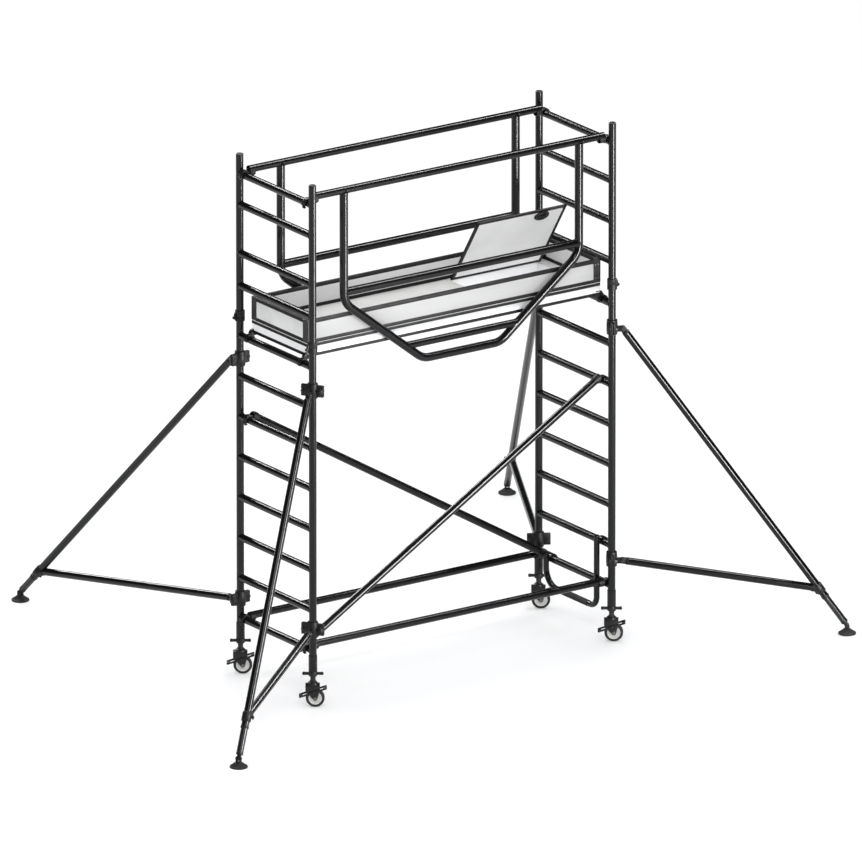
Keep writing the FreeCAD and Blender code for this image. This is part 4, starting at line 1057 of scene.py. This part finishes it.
hub_ring = mirrored(hub_half)
hub = [lathe(hub_ring + [hub_ring[0]], wheel_base, AXLE, sides=56)]
for index in range(RIB_COUNT):
    rib = slab((0.014, -0.0135, -0.0015), (0.0385, 0.0135, 0.0015), 0.0008, 1)
    hub.append(shifted(turned(360 * index / RIB_COUNT, "Y", rib), wheel_base))
print("wheel drawn, with", RIB_COUNT, "ribs in its hub")

# %% Draw the fork and its brake lever
FORK_IN = 0.021
FORK_OUT = 0.025
HEAD_Z = 0.146
PLATE_TOP = 0.158
HEAD_TOP = 0.172
FRONT = -0.050
REAR = 0.046
LEVER_Z = 0.103
LEVER_TILT = 18.8

eye_arc = [(TRAIL + x, WHEEL_R + z) for x, z in arc((0, 0), 0.0155, 215, 340, 12)]
cheek = [(FRONT, PLATE_TOP), (FRONT, HEAD_Z - 0.030)] + eye_arc + [(REAR, HEAD_Z - 0.018), (REAR, PLATE_TOP)]
housing = [eased(plate(cheek, way * FORK_IN, way * FORK_OUT), 0.0014) for way in (1, -1)]
housing.append(slab((FRONT, -FORK_OUT, HEAD_Z), (REAR, FORK_OUT, PLATE_TOP), 0.0022))
housing.append(lathe([(0, PLATE_TOP - 0.004), (0.034, PLATE_TOP - 0.004), (0.034, PLATE_TOP + 0.006),
                      (0.0325, PLATE_TOP + 0.0105), (0.029, HEAD_TOP - 0.001), (0.025, HEAD_TOP), (0, HEAD_TOP)],
                     (0, 0, 0), UP, sides=48))
bolts = []
for way in (-1, 1):
    side = Vector((0, way, 0))
    face = wheel_base + side * FORK_OUT
    housing.append(lathe([(0, 0), (0.0155, 0), (0.0155, 0.0007), (0.0145, 0.0012), (0, 0.0012)], face, side))
    bolts.append(lathe([(0, 0), (0.0115, 0), (0.0115, 0.0016), (0.0105, 0.002), (0, 0.002)], face, side,
                       sides=32))
    bolts.append(lathe([(0.0096, 0.0015), (0.0096, 0.0058), (0.0086, 0.007), (0, 0.007)], face, side, sides=6))
    pivot = Vector((0, way * FORK_IN, LEVER_Z))
    housing.append(lathe([(0, 0), (0.005, 0), (0.005, 0.0103), (0.009, 0.0103), (0.009, 0.0133), (0.0075, 0.0143),
                          (0, 0.0143)], pivot, side, sides=28))
bolts.append(tube(wheel_base - AXLE * FORK_OUT, wheel_base + AXLE * FORK_OUT, AXLE_R, sides=24))

LEVER_IN = 0.027
LEVER_OUT = 0.031
LEVER_HALF = 0.097
PEDAL = 0.025
lever = []
for way in (-1, 1):
    side = [(-LEVER_HALF, -0.003), (-LEVER_HALF + 0.004, -0.006), (-0.030, -0.0066), (0, -0.0085),
            (0.030, -0.0066), (LEVER_HALF - 0.004, -0.006), (LEVER_HALF, -0.003), (LEVER_HALF, 0.004),
            (LEVER_HALF - 0.003, 0.0068), (0, 0.0085), (-LEVER_HALF + 0.003, 0.0068), (-LEVER_HALF, 0.004)]
    lever.append(eased(plate(side, way * LEVER_IN, way * LEVER_OUT), 0.001, 1))
for x0 in (-LEVER_HALF, LEVER_HALF - PEDAL):
    lever.append(slab((x0, -LEVER_IN - 0.001, -0.0026), (x0 + PEDAL, LEVER_IN + 0.001, 0.0024), 0.0012))
    for step in range(5):
        rib = x0 + 0.0025 + step * 0.005
        lever.append(slab((rib - 0.0012, -LEVER_IN, 0.002), (rib + 0.0012, LEVER_IN, 0.0042), 0.0007, 1))
lever = [shifted(turned(-LEVER_TILT, "Y", part), (0, 0, LEVER_Z)) for part in lever]
print("fork parts:", len(housing), "lever parts:", len(lever))

# %% Draw the screwed stem and its winged nut
STEM_R = 0.019
STEM_BASE = 0.1723
STEM_TOP = STEM_BASE + 0.530
THREAD_PITCH = 0.010
NUT_LOW = 0.2127
NUT_TOP = 0.2467
NUT_R = 0.029
NUT_BORE = STEM_R + 0.0004
WING_R = 0.012
WING_REACH = 0.061

turns = (STEM_TOP - STEM_BASE - 0.030) / THREAD_PITCH
steps = int(turns * 22)
helix = []
for step in range(steps + 1):
    angle = 2 * math.pi * turns * step / steps
    helix.append((math.cos(angle) * (STEM_R - 0.0017), math.sin(angle) * (STEM_R - 0.0017),
                  STEM_BASE + 0.022 + THREAD_PITCH * turns * step / steps))
stem = [tube((0, 0, STEM_BASE), (0, 0, STEM_TOP), STEM_R - 0.0018, 0.003, sides=32),
        sweep(helix, 0.0018, sides=6),
        lathe([(0.016, 0), (0.0205, 0), (0.022, 0.0012), (0.022, 0.0085), (0.0205, 0.010), (0.016, 0.010)],
              (0, 0, STEM_BASE), UP),
        tube((0, 0, HEAD_Z - 0.0003), (0, 0, STEM_BASE + 0.001), 0.008, sides=24),
        lathe([(0.0, -0.010), (0.0105, -0.010), (0.012, -0.0085), (0.012, 0), (0, 0)],
              (0, 0, HEAD_Z - 0.0003), UP, sides=6)]

nut = [lathe([(NUT_BORE, 0), (NUT_R - 0.0035, 0), (NUT_R - 0.001, 0.0014), (NUT_R, 0.0045), (NUT_R, 0.0295),
              (NUT_R - 0.001, 0.0326), (NUT_R - 0.0035, 0.034), (0.0229, 0.034), (0.0229, 0.061), (0.0215, 0.062),
              (NUT_BORE, 0.062), (NUT_BORE, 0)], (0, 0, NUT_LOW), UP)]
wing_z = (NUT_LOW + NUT_TOP) / 2
for way in (-1, 1):
    spine = [Vector((way * x, 0, wing_z)) for x in (0.024, 0.045, WING_REACH)]
    nut.append(sweep(spine, WING_R * 0.86, sides=24))
    nut.append(lathe([(WING_R * 0.86, -0.008), (WING_R, -0.005), (WING_R, 0.001), (WING_R * 0.93, 0.0045),
                      (WING_R * 0.7, 0.008), (WING_R * 0.38, 0.0097), (0, 0.010)],
                     (way * WING_REACH, 0, wing_z), (way, 0, 0), sides=28))
print("stem thread turns:", round(turns, 1))

# %% Stand a castor under each post
castor_pieces = (("tyre", [tyre], tyre_rubber, "wheel_", "tyre_rubber", "castor_tyre_"),
                 ("hub", hub, pale_nylon, "wheel_", "hub_plastic", "castor_hub_"),
                 ("fork", housing, pressed_black, "fork_", "castor_steel", "castor_fork_"),
                 ("fork_bolts", bolts, bolt_steel, "fork_", "castor_steel", None),
                 ("lever", lever, pressed_black, "lever_", "castor_steel", "brake_lever_"),
                 ("stem", stem, screw_zinc, "stem_", "screw_steel", "castor_stem_"),
                 ("nut", nut, cast_black, "nut_", "fitting_cast", "adjuster_nut_"))


def stand(pieces, place, corner):
    """Make each piece of a table, put in place at a corner of the tower."""
    for name, parts, material, body, slot, stands_for in pieces:
        piece(name + "_" + corner, placed(place, parts), material, body + corner,
              [stands_for + corner] if stands_for else ())


for corner in CORNERS:
    axle = Vector(joints["wheel_spin_" + corner]["pos_m"])
    heading = (at_height(axle, 0) - post[corner]).normalized()
    stand(castor_pieces, frame_at(post[corner], heading), corner)
print("castors:", len(CORNERS))

# %% [markdown]
# ## Stabilisers
# Each stabiliser is a leg that slides, a brace arm and two clamps, all in one upright plane through its post. It
# is drawn in that plane, with X pointing away from the post, and a matrix then turns it to its own direction. The
# places of the foot and of the clamps come from the model, so a change of reach needs no change here.

# %% Draw the clamps
CLAMP_HALF = 0.050
COLLAR_IN = TUBE_R + 0.0004
COLLAR_OUT = TUBE_R + 0.0104
EAR_SPAN = 0.079
EAR_HALF = 0.040
EAR_DEEP = 0.013
LUG_OUT = 0.072
LUG_DROP = 0.015
LUG_HALF = 0.008
LUG_R = 0.020
PIN_HALF = 0.0143
SHARE = {"lb": 0.91, "lf": 0.885, "rf": 0.875, "rb": 0.86}
SIDE = Vector((0, 1, 0))


def hex_head(place, direction, radius=0.0105, height=0.007):
    return lathe([(0, 0), (radius, 0), (radius, height * 0.8), (radius * 0.88, height), (0, height)],
                 place, direction, sides=6)


def clamp(z):
    """Two jaws round the post, a hinge bolt on one side, a wing nut on the other, and the lug for the leg."""
    jaws = []
    collar = [(COLLAR_IN, -CLAMP_HALF), (COLLAR_OUT - 0.0015, -CLAMP_HALF), (COLLAR_OUT, -CLAMP_HALF + 0.0025),
              (COLLAR_OUT, -0.030), (COLLAR_OUT + 0.0015, -0.028), (COLLAR_OUT + 0.0015, 0.028),
              (COLLAR_OUT, 0.030),
              (COLLAR_OUT, CLAMP_HALF - 0.0025), (COLLAR_OUT - 0.0015, CLAMP_HALF), (COLLAR_IN, CLAMP_HALF),
              (COLLAR_IN, -CLAMP_HALF)]
    jaws.append(lathe(collar, (0, 0, z), UP, sides=48))
    for way in (-1, 1):
        for x0, x1 in ((-EAR_DEEP, -0.0008), (0.0008, EAR_DEEP)):
            jaws.append(slab((x0, way * COLLAR_IN * 1.02, z - EAR_HALF), (x1, way * EAR_SPAN, z + EAR_HALF),
                             0.0045, 3))
    lug_z = z - LUG_DROP
    outline = [(0.030, -LUG_R)] + arc((LUG_OUT, 0), LUG_R, -90, 90, 18) + [(0.030, LUG_R)]
    jaws.append(shifted(eased(plate(outline, -LUG_HALF, LUG_HALF), 0.0018), (0, 0, lug_z)))
    bolts = []
    across = EAR_SPAN - EAR_DEEP
    for way in (-1, 1):
        place = Vector((0, way * across, z))
        bolts.append(tube(place - Vector((EAR_DEEP, 0, 0)), place + Vector((EAR_DEEP + 0.022, 0, 0)), 0.006,
                          sides=18))
        bolts.append(hex_head(place - Vector((EAR_DEEP, 0, 0)), (-1, 0, 0), 0.0115, 0.007))
        nut_base = place + Vector((EAR_DEEP, 0, 0))
        bolts.append(lathe([(0, 0), (0.012, 0), (0.012, 0.004), (0.0095, 0.013), (0.006, 0.015), (0, 0.015)],
                           nut_base, (1, 0, 0), sides=24))
        if way > 0:
            for up in (-1, 1):
                wing = [(0.002, 0.004), (0.013, 0.005), (0.020, 0.018), (0.018, 0.026), (0.010, 0.027),
                        (0.003, 0.018)]
                outline = [(x, up * rise) for x, rise in wing]
                bolts.append(shifted(eased(plate(outline, -0.0022, 0.0022), 0.0012, 1), nut_base))
    pin = Vector((LUG_OUT, 0, lug_z))
    bolts.append(tube(pin - SIDE * PIN_HALF, pin + SIDE * PIN_HALF, 0.008, sides=24))
    for way in (-1, 1):
        bolts.append(hex_head(pin + SIDE * (way * PIN_HALF), SIDE * way, 0.0125, 0.006))
    return jaws, bolts


def forked_end(pivot, toward):
    """The plugged end of a tube: two cheeks round a lug, and a collar where the tube begins."""
    parts = []
    outline = [(0.030, LUG_R)] + arc((0, 0), LUG_R, 90, 270, 20) + [(0.030, -LUG_R)]
    for way in (-1, 1):
        parts.append(eased(plate(outline, way * (LUG_HALF + 0.0003), way * (LUG_HALF + 0.0063)), 0.0013))
    parts.append(lathe([(0, 0.024), (0.019, 0.024), (0.0235, 0.0265), (TUBE_R, 0.029), (TUBE_R, 0.038),
                        (0, 0.038)],
                       (0, 0, 0), (1, 0, 0)))
    return placed(frame_at(pivot, toward), parts)


print("clamp and fork tools ready")

# %% Draw the foot
FOOT_R = 0.060
FOOT_NECK_Z = 0.034
FOOT_EAR_R = 0.015
FOOT_LUG = 0.010
EAR_OUT = FOOT_LUG + 0.0066
foot_profile = [(0, 0), (FOOT_R - 0.004, 0), (FOOT_R - 0.001, 0.001), (FOOT_R, 0.0035), (FOOT_R, 0.008),
                (FOOT_R - 0.0012, 0.010), (FOOT_R - 0.006, 0.0115), (0.050, 0.0135), (0.0425, 0.0173),
                (0.036, 0.0225),
                (0.0310, 0.0275), (0.0285, 0.031), (0.0265, FOOT_NECK_Z), (0.024, FOOT_NECK_Z + 0.0008),
                (0, FOOT_NECK_Z + 0.001)]


def foot(at):
    """A flared pad with ribs round its skirt, two ears and their pin; it lies level on the floor."""
    pad = [lathe(foot_profile, (0, 0, 0), UP, sides=64)]
    for index in range(24):
        rib = sweep([(0.031, 0, 0.0290), (0.040, 0, 0.0200), (0.050, 0, 0.0140), (0.0575, 0, 0.0112)], 0.0014,
                    sides=7)
        pad.append(turned(15 * index, "Z", rib))
    metal = []
    pivot_z = at.z
    outline = ([(-FOOT_EAR_R, FOOT_NECK_Z - 0.002), (FOOT_EAR_R, FOOT_NECK_Z - 0.002)]
               + arc((0, pivot_z), FOOT_EAR_R, 0, 180, 16))
    for way in (-1, 1):
        metal.append(eased(plate(outline, way * (FOOT_LUG + 0.0006), way * EAR_OUT), 0.0012))
        metal.append(hex_head(Vector((0, way * EAR_OUT, pivot_z)), SIDE * way, 0.0095, 0.0052))
    metal.append(tube((0, -0.017, pivot_z), (0, 0.017, pivot_z), 0.006, sides=20))
    ground = Matrix.Translation(at_height(at, 0))
    return placed(ground, pad), placed(ground, metal)

# %% Draw the coupler and the inner tube
INNER_R = 0.023
INNER_WALL = 0.0025
OVERLAP = 0.560
COUPLER_R = TUBE_R + 0.007
COUPLER_HALF = 0.032
COUPLER_REACH = 0.052
HOLE_START = 0.07
HOLE_PITCH = 0.05


def coupling(at, down, toward):
    """What joins the arm to the leg: a collar that slides on the leg, the arm's cup, a key and a knob."""
    collar = [(TUBE_R, -COUPLER_HALF), (COUPLER_R - 0.002, -COUPLER_HALF), (COUPLER_R, -COUPLER_HALF + 0.003),
              (COUPLER_R, COUPLER_HALF - 0.003), (COUPLER_R - 0.002, COUPLER_HALF), (TUBE_R, COUPLER_HALF)]
    cup = [(0.0285, 0.012), (0.0289, COUPLER_REACH - 0.003), (0.0275, COUPLER_REACH), (TUBE_R, COUPLER_REACH)]
    key = brick((-COUPLER_HALF * 0.8, -0.004, -COUPLER_R - 0.008), (COUPLER_HALF * 0.8, 0.004, -TUBE_R - 0.002))
    knob = [(0.007, 0), (0.007, 0.006), (0.013, 0.008), (0.0145, 0.012), (0.013, 0.017), (0.006, 0.019),
            (0, 0.019)]
    return [lathe(collar, at, down), lathe(cup, at, -toward), eased(moved(frame_at(at, down), key), 0.002),
            lathe(knob, at + SIDE * (COUPLER_R - 0.001), SIDE, sides=28)]


def inner_tube(foot_at, down, hidden_to, bare):
    """The tube that slides in the leg, and apart from it the eye at its foot and the rims of its holes."""
    start = foot_at - down * 0.026
    shaft = tube(start, start - down * (hidden_to + OVERLAP), INNER_R, INNER_WALL, sides=36)
    rim = [(0.0056, 0), (0.0056, 0.0009), (0.0045, 0.0012), (0.0036, 0.0004), (0, 0.0003)]
    rims = []
    reach = HOLE_START
    while reach < bare - 0.02:
        for way in (-1, 1):
            spot = foot_at - down * reach + SIDE * (way * (INNER_R - 0.0006))
            rims.append(lathe(rim, spot, SIDE * way, sides=18))
        reach += HOLE_PITCH
    outline = [(0.030, FOOT_EAR_R)] + arc((0, 0), FOOT_EAR_R, 90, 270, 18) + [(0.030, -FOOT_EAR_R)]
    plug = [(0, 0.0245), (0.018, 0.0245), (0.0225, 0.027), (INNER_R + 0.0012, 0.029), (INNER_R + 0.0012, 0.040),
            (INNER_R, 0.041)]
    eye = placed(frame_at(foot_at, -down), [eased(plate(outline, -FOOT_LUG, FOOT_LUG), 0.0016),
                                            lathe(plug, (0, 0, 0), (1, 0, 0))])
    return [shaft], eye + rims


print("inner tube", INNER_R * 2, "m across")


print("foot drawn", FOOT_R * 2, "m wide")

# %% Stand the stabilisers
SLEEVE_PAST = 0.080
TUBE_START = 0.035
for corner in CORNERS:
    pivot = Vector(joints["foot_tilt_" + corner]["pos_m"])
    outward = at_height(pivot, 0) - post[corner]
    clamp_low, clamp_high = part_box("stabiliser_clamps_" + corner)
    top_z, low_z = clamp_high.z - CLAMP_HALF, clamp_low.z + CLAMP_HALF
    top = Vector((LUG_OUT, 0, top_z - LUG_DROP))
    low = Vector((LUG_OUT, 0, low_z - LUG_DROP))
    foot_at = Vector((outward.length, 0, pivot.z))
    down = (foot_at - top).normalized()
    coupler = top + (foot_at - top) * SHARE[corner]
    toward = (coupler - low).normalized()
    sleeve_end = coupler + down * SLEEVE_PAST
    (top_jaws, top_bolts), (low_jaws, low_bolts) = clamp(top_z), clamp(low_z)
    leg = tube(top + down * TUBE_START, sleeve_end - down * 0.012, TUBE_R, WALL, sides=36)
    arm = tube(low + toward * TUBE_START, coupler - toward * (COUPLER_REACH - 0.004), TUBE_R, WALL, sides=36)
    mouth = [(TUBE_R, 0), (TUBE_R + 0.0018, 0.001), (TUBE_R + 0.0018, 0.017), (TUBE_R, 0.019),
             (INNER_R + 0.0006, 0.0195)]
    heads = forked_end(top, down) + forked_end(low, toward) + [lathe(mouth, sleeve_end - down * 0.019, down)]
    inner, inner_ends = inner_tube(foot_at, down, (foot_at - coupler).length, (foot_at - sleeve_end).length)
    pad, ears = foot(foot_at)
    stand((("clamps", top_jaws + low_jaws, cast_black, "stabiliser_", "fitting_cast", "stabiliser_clamps_"),
           ("clamp_bolts", top_bolts + low_bolts, black_bolt, "stabiliser_", "fitting_cast", None),
           ("leg", [leg], black_coat, "stabiliser_", "brace_tube", "stabiliser_leg_"),
           ("arm", [arm], black_coat, "stabiliser_", "brace_tube", "stabiliser_arm_"),
           ("leg_castings", heads + coupling(coupler, down, toward), cast_black, "stabiliser_", "fitting_cast",
            None),
           ("extension_tube", inner, inner_coat, "extension_", "inner_tube", "stabiliser_extension_"),
           ("extension_end", inner_ends, cast_black, "extension_", "inner_tube", None),
           ("foot_pad", pad, foot_rubber, "foot_", "foot_rubber", "stabiliser_foot_"),
           ("foot_ears", ears, cast_black, "foot_", "foot_rubber", None)),
          frame_at(post[corner], outward), corner)
print("pieces made:", len(made))
